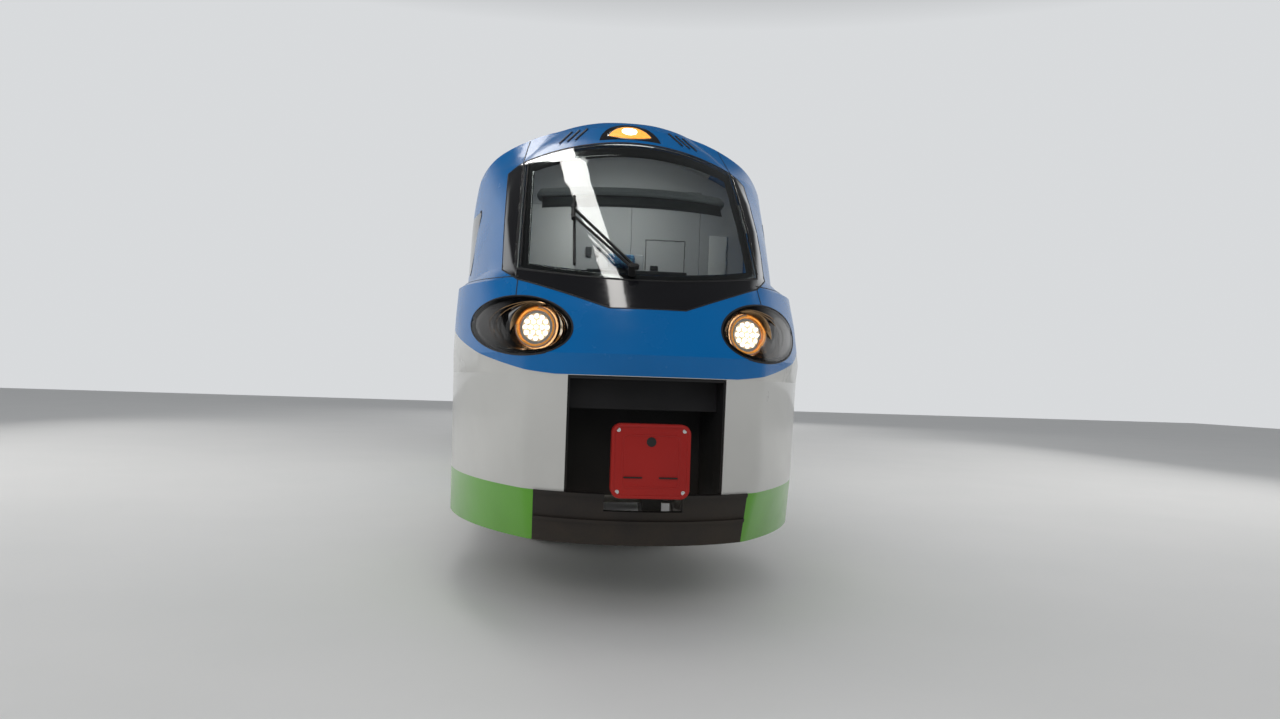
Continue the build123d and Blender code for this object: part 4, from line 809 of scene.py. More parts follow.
real = add(copies_tree, "GeometryNodeRealizeInstances", {0: placed.outputs[0]})
finished = add(copies_tree, "GeometryNodeSetMaterial", {0: real.outputs[0], "Material": given["Material"]})
result = copies_tree.nodes.new("NodeGroupOutput")
copies_tree.links.new(finished.outputs[0], result.inputs[0])


def socket_id(tree, label):
    return next(s.identifier for s in tree.interface.items_tree if s.name == label and s.in_out == "INPUT")


def copies(name, item_bm, spots, finish, body="car", crease=38):
    """One piece made of copies of an item; spots are (place, facing, heading) triples."""
    bmesh.ops.recalc_face_normals(item_bm, faces=item_bm.faces)
    item_mesh = bpy.data.meshes.new(name + "_item")
    item_bm.to_mesh(item_mesh)
    item_bm.free()
    item_mesh.shade_smooth()
    item_mesh.set_sharp_from_angle(angle=radians(crease))
    item_obj = bpy.data.objects.new(name + "_item", item_mesh)
    points = bpy.data.meshes.new(name + "_points")
    points.from_pydata([spot[0] for spot in spots], [], [])
    for label, column in (("facing", 1), ("heading", 2)):
        layer = points.attributes.new(label, "FLOAT_VECTOR", "POINT")
        for i, spot in enumerate(spots):
            layer.data[i].vector = Vector(spot[column]).normalized()
    holder = bpy.data.objects.new(name + "_points", points)
    scene.collection.objects.link(holder)
    modifier = holder.modifiers.new("copies", "NODES")
    modifier.node_group = copies_tree
    modifier[socket_id(copies_tree, "Item")] = item_obj
    modifier[socket_id(copies_tree, "Material")] = finishes[finish][0]
    mesh = bpy.data.meshes.new_from_object(holder.evaluated_get(bpy.context.evaluated_depsgraph_get()))
    mesh.name = name
    bpy.data.objects.remove(holder)
    bpy.data.objects.remove(item_obj)
    obj = linked(name, mesh)
    print(name, "has", len(spots), "copies and", len(mesh.polygons), "faces")
    return give(obj, finish, body)


def bolt_head(radius=0.007, height=0.005):
    """Hexagon bolt head on its washer."""
    bm = bmesh.new()
    turned(bm,
           [(0, 0.0), (1.6 * radius, 0.0), (1.6 * radius, 0.25 * height), (1.1 * radius, 0.26 * height)],
           ORIGIN, UP, 12)
    turned(bm, [(radius, 0.2 * height), (radius, 0.85 * height), (0.85 * radius, height), (0, height)],
           ORIGIN, UP, 6)
    return bm


# %% [markdown]
# ## Windscreen border, seals and seams
#
# A train windscreen is bonded in, and a printed black border hides the glue. The border here is a thin
# sheet just behind the glass, a ring between the outline of the pane and the smaller outline of the clear
# area. Rubber seals follow the pane's edge, and a bright strip covers the joint to the black quarter panels
# on both sides.

# %% Outlines in front view
RAIL = 0.028
SCREEN_HALF = 0.905
SCREEN_FOOT = RAIL + 2.252
SCREEN_FOOT_RISE = 0.112
MASK_HALF = 1.043
MASK_CORNER = RAIL + 3.332
MASK_SHOULDER = (0.917, RAIL + 3.428)
MASK_TOP = RAIL + 3.600
V_CORNER = (0.889, RAIL + 2.274)
V_SHOULDER = (1.017, RAIL + 2.373)
V_APEX = (0.256, RAIL + 2.037)


def bow(x, half, rise):
    """How far an arc of a half width and a rise has come away from its middle at x."""
    radius = (half * half + rise * rise) / (2 * rise)
    return radius - sqrt(radius * radius - x * x)


def arch_height(x):
    """Height of the arc over the mask, through both its shoulders and the top."""
    return MASK_TOP - bow(x, MASK_SHOULDER[0], MASK_TOP - MASK_SHOULDER[1])


def foot_height(x):
    """Height of the curved foot of the windscreen."""
    return SCREEN_FOOT + bow(x, SCREEN_HALF, SCREEN_FOOT_RISE)


def steps(start, end, size):
    count = max(1, round(abs(end - start) / size))
    return [start + (end - start) * i / count for i in range(count + 1)]


def screen_outline(side, head, foot, size=0.03):
    """Closed outline of the windscreen, drawn in from its edges by side, head and foot."""
    half = SCREEN_HALF - side
    high, low = arch_height(half) - head, foot_height(half) + foot
    top = [(x, arch_height(x) - head) for x in steps(-half, half, size)]
    right = [(half, z) for z in steps(high, low, size)[1:]]
    bottom = [(x, foot_height(x) + foot) for x in steps(half, -half, size)[1:]]
    left = [(-half, z) for z in steps(low, high, size)[1:-1]]
    return top + right + bottom + left


def nearest(point, outline):
    return min(outline, key=lambda spot: (spot[0] - point[0]) ** 2 + (spot[1] - point[1]) ** 2)


# %% Printed border behind the glass
bm = bmesh.new()
clear_area = screen_outline(0.085, 0.150, 0.060, 0.01)
BORDER_ROWS = 4
GLASS_BACK = -0.0265
rows = []
rim = screen_outline(0.004, 0.004, 0.004)
for k in range(BORDER_ROWS + 1):
    share = k / BORDER_ROWS
    row = []
    for point in rim:
        inner = nearest(point, clear_area)
        x, z = point[0] + share * (inner[0] - point[0]), point[1] + share * (inner[1] - point[1])
        row.append(on_front(x, z, GLASS_BACK)[0])
    rows.append(row)
sheet_rows(bm, rows, closed=True)
piece("windscreen_border", bm, "mask black", wall=-0.002)

# %% Seals round the panes
bm = bmesh.new()
SEAL_SHIFT = 0.005
seal_line = screen_outline(-SEAL_SHIFT, -SEAL_SHIFT, -SEAL_SHIFT, 0.04)
sweep(bm, [on_front(x, z) for x, z in seal_line], bead(0.016, 0.004), closed=True)
piece("windscreen_seal", bm, "gasket rubber")

# name, distance outside the pane's edge, width, height, finish
PILLAR_STRIPS = (
    ("pillar_strips", 0.014, 0.004, 0.005, "bright trim"),
    ("pillar_caps", -0.030, 0.010, 0.004, "gasket rubber"),
)
for name, outside, width, proud, finish in PILLAR_STRIPS:
    bm = bmesh.new()
    pillar = [on_front(SCREEN_HALF + outside, z)
              for z in steps(foot_height(SCREEN_HALF) + 0.02, arch_height(SCREEN_HALF) - 0.02, 0.05)]
    for path in (pillar, mirrored(pillar)):
        sweep(bm, path, bead(width, proud))
    piece(name, bm, finish)

# %% Seal round the whole mask
mask_rim = [(x, arch_height(x)) for x in steps(-MASK_SHOULDER[0], MASK_SHOULDER[0], 0.04)]
right_side = [MASK_SHOULDER, (MASK_HALF, MASK_CORNER), V_SHOULDER, V_CORNER, V_APEX]
corners = right_side + [(-x, z) for x, z in reversed(right_side)]
for (x0, z0), (x1, z1) in zip(corners, corners[1:]):
    count = max(2, round(sqrt((x1 - x0) ** 2 + (z1 - z0) ** 2) / 0.05))
    mask_rim += [(x0 + (x1 - x0) * i / count, z0 + (z1 - z0) * i / count) for i in range(1, count + 1)]
MASK_GROWTH = 1.004
MASK_CENTRE = RAIL + 2.9
mask_rim = [(x * MASK_GROWTH, MASK_CENTRE + (z - MASK_CENTRE) * MASK_GROWTH) for x, z in mask_rim]
bm = bmesh.new()
sweep(bm, [on_front(x, z) for x, z in mask_rim[:-1]], bead(0.012, 0.002), closed=True)
piece("mask_seal", bm, "gasket rubber")

# %% Panel joints on the nose
GROOVE_RISE = 0.09
SEAM_FOOT = (523.6, 161.7)
SEAM_HEAD = (530.4, 141.5)
bm = bmesh.new()
corner_angle = atan2(V_CORNER[0], NOSE_MIDDLE - on_front(*V_CORNER)[0].y) * 180 / pi
joint = [around(a, V_CORNER[1] + 0.02 + GROOVE_RISE * (a - corner_angle) / (90 - corner_angle))
         for a in steps(corner_angle, 89.5, 1.5)]
drop = [on_front(V_CORNER[0] + 0.03 * (V_CORNER[1] - z), z) for z in steps(V_CORNER[1], RAIL + 2.14, 0.03)]
crown = [under_pixel(SEAM_FOOT[0] + share * (SEAM_HEAD[0] - SEAM_FOOT[0]),
                     SEAM_FOOT[1] + share * (SEAM_HEAD[1] - SEAM_FOOT[1])) for share in steps(0, 1, 0.125)]
for path in (joint, mirrored(joint), drop, mirrored(drop), crown, mirrored(crown)):
    sweep(bm, path, bead(0.010, 0.0015))
piece("nose_joints", bm, "gasket rubber")

# %% [markdown]
# ## Headlamps and top lamp
#
# Behind each clear oval sits a round lamp: a ring of bright dots, an amber ring round them and a bronze
# bowl. The top lamp is an eye-shaped lens in the black surround over the windscreen.

# %% Headlamp rims and bowls
LAMP = (0.865, RAIL + 1.920, 0.365, 0.210)
LAMP_TILT = radians(7)
LAMP_AIM = Vector((0.3, -1.0, 0.1)).normalized()
LAMP_FACE = Vector((0.742, cad_low.y + 0.150 + 0.570, RAIL + 1.901))


def lamp_outline(grow, count=72):
    """Oval of the right-hand lamp cover in front view, grown by a margin."""
    x0, z0, a, b = LAMP
    spots = []
    for i in range(count):
        angle = 2 * pi * i / count
        across, rise = (a + grow) * cos(angle), (b + grow) * sin(angle)
        spots.append((x0 + across * cos(LAMP_TILT) - rise * sin(LAMP_TILT),
                      z0 + across * sin(LAMP_TILT) + rise * cos(LAMP_TILT)))
    return spots


def flip(vector):
    return Vector((-vector.x, vector.y, vector.z))


rim = [on_front(x, z) for x, z in lamp_outline(0.004)]
bm = bmesh.new()
for path in (rim, mirrored(rim)):
    sweep(bm, path, bead(0.013, 0.003), closed=True)
piece("lamp_rims", bm, "gasket rubber")

bowl, dots_ring, amber = bmesh.new(), [], bmesh.new()
for place, aim in ((LAMP_FACE, LAMP_AIM), (flip(LAMP_FACE), flip(LAMP_AIM))):
    turned(bowl, [(0.127, -0.02), (0.150, 0.012), (0.172, 0.030), (0.176, 0.026), (0.155, 0.0)], place,
           aim, 64)
    turned(amber, [(0.120, -0.006), (0.124, 0.004), (0.133, 0.004), (0.138, -0.006)], place, aim, 64)
    stand = axis_frame(place, aim)
    for radius, count in ((0.078, 12), (0.042, 6), (0.0, 1)):
        for i in range(count):
            angle = 2 * pi * i / count
            spot = stand @ Vector((radius * cos(angle), radius * sin(angle), -0.014))
            dots_ring.append((spot, aim, (0, 0, 1)))
piece("lamp_bowls", bowl, "bronze")
piece("lamp_amber_rings", amber, "lamp amber")
bm = bmesh.new()
turned(bm, [(0, 0.012), (0.008, 0.010), (0.014, 0.004), (0.017, -0.004)], ORIGIN, UP, 16)
copies("lamp_dots", bm, dots_ring, "lamp white")
bm = bmesh.new()
for place, aim in ((LAMP_FACE, LAMP_AIM), (flip(LAMP_FACE), flip(LAMP_AIM))):
    turned(bm, [(0, -0.0165), (0.094, -0.0165), (0.098, -0.019)], place, aim, 48)
piece("lamp_discs", bm, "lamp warm")

# %% Dark funnels between the ovals and the lamps
FUNNEL_ROWS = 6
stand = axis_frame(LAMP_FACE, LAMP_AIM)
mouth = [on_front(x, z, -0.016)[0] for x, z in lamp_outline(-0.006)]
throat = []
for place in mouth:
    spoke = stand.inverted() @ place
    spoke.z = 0.0
    throat.append(stand @ (spoke.normalized() * 0.168 + Vector((0, 0, 0.012))))
bm = bmesh.new()
for turn_over in (False, True):
    rows = []
    for share in steps(0.0, 1.0, 1 / FUNNEL_ROWS):
        row = [a.lerp(b, share) - LAMP_AIM * 0.05 * sin(pi * share) * (a - b).length for a,
               b in zip(mouth, throat)]
        rows.append([flip(place) for place in row] if turn_over else row)
    sheet_rows(bm, rows, closed=True)
piece("lamp_funnels", bm, "mask black", wall=-0.002)
bm = bmesh.new()
for share in (0.45, 0.62):
    ring = [(a.lerp(b, share) + LAMP_AIM * 0.003, LAMP_AIM) for a, b in zip(mouth, throat)]
    for path in (ring, mirrored(ring)):
        sweep(bm, path, bead(0.005, 0.002, 0.01), closed=True)
piece("lamp_funnel_rings", bm, "bronze")

# %% Top lamp
EYE_HALF = 0.185
EYE_TIP = RAIL + 3.690
EYE_LOW = RAIL + 3.662
EYE_HIGH = RAIL + 3.812
LENS_RISE = 0.016


def eye_patch(bm, grow, lift, dome=0.0, columns=24, rows=8):
    """Eye-shaped patch on the nose over the windscreen, domed by a height in its middle."""
    half = EYE_HALF + grow
    grid = []
    for j in range(rows + 1):
        share = j / rows
        row = []
        for i in range(columns + 1):
            x = half * (2 * i / columns - 1) * 0.999
            low = EYE_LOW - grow + bow(x, half, EYE_TIP - EYE_LOW + grow)
            high = EYE_HIGH + grow - bow(x, half, EYE_HIGH - EYE_TIP + grow)
            belly = sin(pi * share) * cos(pi / 2 * x / half)
            row.append(on_front(x, low + share * (high - low), lift + dome * belly)[0])
        grid.append(row)
    sheet_rows(bm, grid)


bm = bmesh.new()
eye_patch(bm, 0.014, 0.0015)
piece("top_lamp_bezel", bm, "bright trim", wall=-0.001)
bm = bmesh.new()
eye_patch(bm, 0.0, 0.004, LENS_RISE)
piece("top_lamp_lens", bm, "lamp amber", wall=-0.002)
bm = bmesh.new()
bulb_place, bulb_aim = on_front(0, RAIL + 3.735, 0.010)
turned(bm, [(0, 0.016), (0.040, 0.014), (0.070, 0.007), (0.082, -0.004)], bulb_place, bulb_aim, 40)
piece("top_lamp_bulb", bm, "lamp white")

# %% Slots in the crown, darkened with painted shade
LOUVRES = ((0.620, RAIL + 3.590), (0.553, RAIL + 3.603), (0.486, RAIL + 3.616))
# Black rubber strips set just below the skin in each slot stand in for the shade inside the openings: painted
# shade.
bm = bmesh.new()
for x, z in LOUVRES:
    slot = [on_front(x - 0.008 - 0.125 * t, z + 0.008 + 0.175 * t, 0.016) for t in steps(0.08, 0.92, 0.07)]
    for path in (slot, mirrored(slot)):
        sweep(bm, path, bead(0.022, 0.008, 0.014))
piece("louvre_slats", bm, "gasket rubber")

# %% [markdown]
# ## Coupler cover and wiper
#
# The red cover closes the coupler's recess. It has a folded lip, four screws, a latch and two lifting
# handles.

# %% Cover and its fittings
COVER_FACE = cad_low.y
COVER_Z = RAIL + 1.060
COVER_HALF, COVER_RISE = 0.245, 0.230


def rounded_frame(half_x, half_z, corner, count=6):
    """Rounded rectangle as (across, up) points, counter-clockwise from its lower right corner."""
    spots = []
    for sx, sz, start in ((1, -1, -90), (1, 1, 0), (-1, 1, 90), (-1, -1, 180)):
        for i in range(count + 1):
            angle = radians(start + 90 * i / count)
            spots.append((sx * (half_x - corner) + corner * cos(angle),
                          sz * (half_z - corner) + corner * sin(angle)))
    return spots


def cover_path(inset, lift):
    face = Vector((0, -1, 0))
    return [(Vector((x, COVER_FACE - lift, COVER_Z + z)), face)
            for x, z in rounded_frame(COVER_HALF - inset, COVER_RISE - inset, 0.06 - inset / 2)]


bm = bmesh.new()
sweep(bm, cover_path(0.012, 0.0), bead(0.020, 0.004, 0.002), closed=True)
sweep(bm, cover_path(0.070, 0.0), bead(0.010, 0.003, 0.002), closed=True)
piece("cover_lips", bm, "cover red")
bm = bmesh.new()
for x in (-0.11, 0.11):
    tube(bm,
         [(x - 0.055, COVER_FACE + 0.004, COVER_Z - 0.10), (x - 0.055, COVER_FACE - 0.007, COVER_Z - 0.10),
              (x + 0.055, COVER_FACE - 0.007, COVER_Z - 0.10),
              (x + 0.055, COVER_FACE + 0.004, COVER_Z - 0.10)], 0.005)
turned(bm, [(0, 0.006), (0.024, 0.006), (0.030, 0.002), (0.030, -0.002)], (0, COVER_FACE, COVER_Z + 0.12),
       (0, -1, 0), 28)
piece("cover_handles", bm, "frame black")
corners = [(Vector((sx * 0.205, COVER_FACE - 0.001, COVER_Z + sz * 0.19)), (0, -1, 0), (1, 0, 0))
           for sx in (-1, 1) for sz in (-1, 1)]
copies("cover_screws", bolt_head(0.008, 0.006), corners, "bright trim")

# %% Wiper fittings
WIPER_X = -0.482
BLADE_SPAN = (RAIL + 2.352, RAIL + 2.968)
screen_skin = skin_tree("windscreen", "mask_panel", "quarter_glass")


def on_screen(x, z, lift=0.0):
    return hit(screen_skin, (x, cad_low.y - 1, z), (0, 1, 0), lift)


bm = bmesh.new()
sweep(bm, [on_screen(WIPER_X, z, 0.004) for z in steps(*BLADE_SPAN, 0.04)], bead(0.007, 0.014, 0.003))
piece("wiper_rubber", bm, "gasket rubber")
bm = bmesh.new()
for x in (-0.093, -0.065):
    cap_place, cap_aim = on_screen(x, RAIL + 2.29, 0.070)
    turned(bm, [(0.022, -0.014), (0.022, 0.008), (0.016, 0.014), (0, 0.015)], cap_place, cap_aim, 24)
for z in (2.740, 2.810):
    cap_place, cap_aim = on_screen(WIPER_X, RAIL + z, 0.060)
    turned(bm, [(0.017, -0.018), (0.017, 0.012), (0.011, 0.018), (0, 0.018)], cap_place, cap_aim, 20)
piece("wiper_caps", bm, "wiper black")

# %% [markdown]
# ## Driver's cab
#
# The cab shows through the windscreen: a blind in its housing behind the top of the glass, pale linings,
# the wall behind the driver with its door, and the desk with its screens. A lamp in the ceiling lights it.

# %% Linings and blind
NOSE_Y = cad_low.y + 0.150
CAB_BACK = NOSE_Y + 3.436
CAB_FLOOR = RAIL + 1.500
bm = bmesh.new()
sheet_rows(bm,
           [[on_top(x, y, -0.085)[0] for x in steps(-0.95, 0.95, 0.1)]
            for y in steps(NOSE_Y + 2.55, CAB_BACK, 0.1)])
piece("cab_ceiling_lining", bm, "white laminate", wall=-0.004)
bm = bmesh.new()
for side in (-1, 1):
    sheet_rows(bm, [[on_side(y, z, side, -0.085)[0] for z in steps(CAB_FLOOR + 0.01, RAIL + 2.44, 0.12)]
                    for y in steps(NOSE_Y + 1.75, CAB_BACK, 0.1)])
    sheet_rows(bm, [[on_side(y, z, side, -0.085)[0] for z in steps(RAIL + 3.07, RAIL + 3.40, 0.08)]
                    for y in steps(NOSE_Y + 2.75, CAB_BACK, 0.1)])
piece("cab_side_linings", bm, "white laminate", wall=0.004)

BLIND_Z = RAIL + 3.06
bm = bmesh.new()
sweep(bm, [on_screen(x, BLIND_Z + 0.09, -0.115) for x in steps(-0.80, 0.80, 0.08)],
      [(-0.05, -0.03), (-0.05, 0.02), (-0.035, 0.035), (0.035, 0.035), (0.05, 0.02), (0.05, -0.03)])
piece("blind_housing", bm, "cab grey")
bm = bmesh.new()
sheet_rows(bm,
           [[on_screen(x, z, -0.11)[0] for x in steps(-0.78, 0.78, 0.08)]
            for z in steps(BLIND_Z - 0.06, BLIND_Z + 0.06, 0.03)])
piece("blind", bm, "desk plastic", wall=-0.002)

# %% Wall behind the driver
bm = bmesh.new()
for x0, x1, z0, z1 in ((-1.06, -0.42, 2.30, 3.28), (-1.06, -0.42, 1.62, 2.27), (0.95, 1.14, 2.20, 3.05)):
    block(bm, (x0, CAB_BACK - 0.016, RAIL + z0), (x1, CAB_BACK + 0.001, RAIL + z1), 0.012, 3)
piece("cab_wall_panels", bm, "white laminate")
bm = bmesh.new()
for x0, x1, z0, z1 in ((0.30, 0.70, 2.62, 2.98),):
    frame_line = [(Vector((x, CAB_BACK + 0.007, z)), Vector((0, -1, 0)))
                  for x, z in ((x0, RAIL + z0), (x1, RAIL + z0), (x1, RAIL + z1), (x0, RAIL + z1))]
    sweep(bm, frame_line, bead(0.010, 0.003, 0.001), closed=True)
    block(bm, (x0 + 0.05, CAB_BACK - 0.004, RAIL + z0 + 0.05),
          (x0 + 0.13, CAB_BACK + 0.010, RAIL + z0 + 0.10), 0.003)
piece("cab_door_hatch", bm, "gasket rubber", body="cab_door")
bm = bmesh.new()
tube(bm, [(0.79, CAB_BACK + 0.010, RAIL + 2.50), (0.79, CAB_BACK - 0.045, RAIL + 2.50),
          (0.68, CAB_BACK - 0.050, RAIL + 2.50)], 0.010, 12)
turned(bm, [(0, 0.012), (0.026, 0.010), (0.030, 0.0)], (0.79, CAB_BACK + 0.008, RAIL + 2.50), (0, -1, 0),
       24)
piece("cab_door_handle", bm, "bright trim", body="cab_door")
bm = bmesh.new()
for x in (-0.18, -0.28):
    block(bm, (x - 0.03, CAB_BACK - 0.022, RAIL + 2.78), (x + 0.03, CAB_BACK + 0.001, RAIL + 2.88), 0.005)
tube(bm,
     [(0.08, CAB_BACK, RAIL + 2.2), (0.08, CAB_BACK - 0.05, RAIL + 2.22),
      (0.08, CAB_BACK - 0.05, RAIL + 2.75),
          (0.08, CAB_BACK, RAIL + 2.77)], 0.013)
piece("cab_wall_fittings", bm, "desk plastic")

# %% Desk
DESK_TOP = RAIL + 2.260
DESK_Y = NOSE_Y + 1.050
bm = bmesh.new()
for x, turn_z in ((-0.27, 8), (0.0, 0), (0.27, -8)):
    tilt = Matrix.Translation((x, DESK_Y + 0.315, DESK_TOP + 0.075)) @ Matrix.Rotation(radians(turn_z), 4,
                                                                                       "Z") \
        @ Matrix.Rotation(radians(-32), 4, "X")
    block(bm, (-0.12, -0.012, -0.075), (0.12, 0.012, 0.075), 0.006, 2, tilt)
piece("desk_displays", bm, "desk plastic")
bm = bmesh.new()
for x, turn_z in ((-0.27, 8), (0.0, 0), (0.27, -8)):
    tilt = Matrix.Translation((x, DESK_Y + 0.315, DESK_TOP + 0.075)) @ Matrix.Rotation(radians(turn_z), 4,
                                                                                       "Z") \
        @ Matrix.Rotation(radians(-32), 4, "X")
    block(bm, (-0.105, 0.0115, -0.06), (0.105, 0.0145, 0.06), 0.001, 1, tilt)
piece("desk_screens", bm, "screen blue")
bm = bmesh.new()
for x in (-0.42, 0.42):
    block(bm, (x - 0.09, DESK_Y + 0.50, DESK_TOP - 0.001), (x + 0.09, DESK_Y + 0.66, DESK_TOP + 0.020),
          0.008)
    turned(bm,
           [(0.020, 0.0), (0.014, 0.05), (0.014, 0.09), (0.028, 0.105), (0.030, 0.125), (0.018, 0.140),
            (0, 0.142)],
           (x, DESK_Y + 0.58, DESK_TOP + 0.018), (0, 0, 1), 24)
block(bm, (0.60, DESK_Y + 0.52, DESK_TOP - 0.001), (0.80, DESK_Y + 0.74, DESK_TOP + 0.012), 0.005)
tube(bm, [(0.66, DESK_Y + 0.54, DESK_TOP + 0.035), (0.70, DESK_Y + 0.72, DESK_TOP + 0.035)], 0.018, 14)
for x in (0.66, 0.70):
    turned(bm, [(0.024, -0.02), (0.026, 0.0), (0.018, 0.008), (0, 0.008)],
           (x, DESK_Y + (0.54 if x < 0.68 else 0.72), DESK_TOP + 0.035), (0, 0, 1), 20)
piece("desk_controls", bm, "desk plastic")
bm = bmesh.new()
turned(bm, [(0, 0.006), (0.007, 0.006), (0.009, 0.002), (0.009, -0.001)], ORIGIN, UP, 14)
buttons = [((x, DESK_Y + 0.50 + 0.035 * row, DESK_TOP), UP, ACROSS)
           for x in steps(-0.26, 0.26, 0.04) for row in range(3)]
copies("desk_buttons", bm, buttons, "bright trim")

# %% Cab light
bm = bmesh.new()
cab_lamp_place, cab_lamp_out = on_top(0, NOSE_Y + 2.9, -0.092)
block(bm, cab_lamp_place - Vector((0.30, 0.06, 0.022)), cab_lamp_place + Vector((0.30, 0.06, 0.0)), 0.008)
piece("cab_lamp", bm, "cabin light")

# %% [markdown]
# ## Sides
#
# Each side window sits in a rubber gasket. The plug doors have a rounded frame, a push button, a rubber
# edge where the leaves meet and a yellow sill, and a handrail stands on each side of the doorway. Panel
# joints divide the wall, and a gutter runs along the edge of the roof.

# %% Window gaskets
# start and width of each side window behind the nose tip, as in the solid model
WINDOWS = ((4.150, 2.500), (8.950, 1.750), (10.800, 1.750), (15.050, 1.650), (16.850, 1.650),
           (18.650, 1.300))
WINDOW_SILL, WINDOW_HEAD = RAIL + 1.620, RAIL + 2.560
CAB_WINDOW = (2.500, 0.750, RAIL + 2.470, RAIL + 3.030)
DOORS = (8.100, 13.400)
DOOR_HALF = 0.650
DOOR_SILL, DOOR_HEAD = RAIL + 0.620, RAIL + 2.590
SIDES = (-1, 1)


def side_frame(y0, y1, z0, z1, side, grow, lift=0.0, corner=0.09):
    """Rounded rectangle on the side of the car, grown by a margin."""
    middle_y, middle_z = (y0 + y1) / 2, (z0 + z1) / 2
    frame_line = rounded_frame((y1 - y0) / 2 + grow, (z1 - z0) / 2 + grow, corner + grow)
    return [on_side(NOSE_Y + middle_y + y, middle_z + z, side, lift) for y, z in frame_line]


bm = bmesh.new()
for side in SIDES:
    for start, width in WINDOWS:
        sweep(bm, side_frame(start, start + width, WINDOW_SILL, WINDOW_HEAD, side, 0.008),
              bead(0.022, 0.003), closed=True)
    start, width, sill, head = CAB_WINDOW
    sweep(bm, side_frame(start, start + width, sill, head, side, 0.008), bead(0.020, 0.003), closed=True)
piece("window_gaskets", bm, "gasket rubber")

# %% Hinged top lights of the windows
bm = bmesh.new()
for side in SIDES:
    for start, width in WINDOWS:
        line = [on_side(NOSE_Y + y, WINDOW_HEAD - 0.26, side, 0.001)
                for y in steps(start + 0.04, start + width - 0.04, 0.4)]
        sweep(bm, line, bead(0.026, 0.006))
piece("window_bars", bm, "frame black")

# %% Door frames, buttons and edges
LEAF_X = 1.405
bm, edges, buttons, lights = bmesh.new(), bmesh.new(), [], bmesh.new()
for side in SIDES:
    out = Vector((side, 0, 0))
    for centre in DOORS:
        y = NOSE_Y + centre
        for y0, y1 in ((y - DOOR_HALF, y - 0.003), (y + 0.003, y + DOOR_HALF)):
            pane = rounded_frame((y1 - y0) / 2 - 0.102, (DOOR_HEAD - DOOR_SILL - 0.53) / 2 + 0.008, 0.09)
            middle = Vector((side * LEAF_X, (y0 + y1) / 2, (DOOR_SILL + 0.33 + DOOR_HEAD - 0.2) / 2))
            sweep(bm, [(middle + Vector((0, a, b)), out) for a, b in pane], bead(0.020, 0.003), closed=True)
        for shift in (-0.012, 0.012):
            line = [(Vector((side * LEAF_X, y + shift, z)), out)
                    for z in steps(DOOR_SILL + 0.01, DOOR_HEAD - 0.01, 0.5)]
            sweep(edges, line, bead(0.020, 0.009, 0.004))
        buttons.append((Vector((side * LEAF_X, y - 0.062, DOOR_SILL + 1.02)), out, (0, 1, 0)))
        buttons.append((Vector((side * 1.414, y + DOOR_HALF + 0.10, DOOR_SILL + 1.10)), out, (0, 1, 0)))
        block(lights, (side * 1.412 - 0.004, y - 0.10, DOOR_HEAD + 0.055),
              (side * 1.412 + 0.004, y + 0.10, DOOR_HEAD + 0.085), 0.003)
piece("door_gaskets", bm, "gasket rubber")
piece("door_edges", edges, "gasket rubber")
piece("door_lights", lights, "lamp amber")
bm = bmesh.new()
turned(bm, [(0, 0.007), (0.024, 0.006), (0.029, 0.003), (0.040, 0.003), (0.043, -0.002)], ORIGIN, UP, 28)
copies("door_buttons", bm, buttons, "button green")

# %% Sills and outside handrails
bm, rails, ribs = bmesh.new(), bmesh.new(), []
for side in SIDES:
    for centre in DOORS:
        y = NOSE_Y + centre
        x0, x1 = sorted((side * 1.315, side * 1.409))
        block(bm, (x0, y - DOOR_HALF + 0.01, DOOR_SILL - 0.055),
              (x1, y + DOOR_HALF - 0.01, DOOR_SILL - 0.001), 0.006)
        for shift in (-DOOR_HALF - 0.07, DOOR_HALF + 0.07):
            x = side * 1.409
            tube(rails, [(x, y + shift, DOOR_SILL + 0.72), (x, y + shift, DOOR_SILL + 0.72 + 0.001),
                         (x, y + shift, DOOR_SILL + 0.95)], 0.006, 10)
piece("door_sills", bm, "button yellow")
piece("door_rails", rails, "bright trim")

# %% Panel joints and gutters
bm = bmesh.new()
JOINTS = (3.52, 6.95, 9.0, 12.65, 14.85, 17.0, 20.2)
for side in SIDES:
    for y in JOINTS:
        if any(abs(y - centre) < DOOR_HALF + 0.15 for centre in DOORS):
            continue
        blocked = [(s - 0.03, s + w + 0.03) for s, w in WINDOWS]
        spans = [(RAIL + 0.83, RAIL + 3.28)]
        if any(low < y < high for low, high in blocked):
            spans = [(RAIL + 0.83, WINDOW_SILL - 0.03), (WINDOW_HEAD + 0.03, RAIL + 3.28)]
        for low, high in spans:
            sweep(bm, [on_side(NOSE_Y + y, z, side) for z in steps(low, high, 0.12)], bead(0.008, 0.001))
    for start, end in ((3.52, 7.40), (8.80, 12.70), (14.10, 20.38)):
        sweep(bm, [on_side(NOSE_Y + y, RAIL + 0.832, side) for y in steps(start, end, 0.6)],
              bead(0.008, 0.001))
piece("panel_joints", bm, "gasket rubber")
bm = bmesh.new()
for side in SIDES:
    sweep(bm, [on_side(NOSE_Y + y, RAIL + 3.33, side) for y in steps(3.6, 20.3, 0.5)],
          [(-0.014, -0.004), (-0.014, 0.006), (-0.004, 0.010), (0.004, 0.010), (0.014, 0.002),
           (0.014, -0.004)])
    for centre in DOORS:
        sweep(bm,
              [on_side(NOSE_Y + y, DOOR_HEAD + 0.115, side)
               for y in steps(centre - 0.75, centre + 0.75, 0.25)],
              bead(0.020, 0.012))
piece("gutters", bm, "pale grey")

# %% [markdown]
# ## Seats
#
# A cushion is a bag of foam, so its shape comes from pressure inside a cloth cover. We start from a block
# that is a little too small, remesh it evenly, blow it up with Blender's cloth and keep the side that rests
# on the shell where it is. No point may move further than a cap, so each pad stays within the space of its
# solid. One pad of each kind is blown up, and the saloon's forty places get copies.

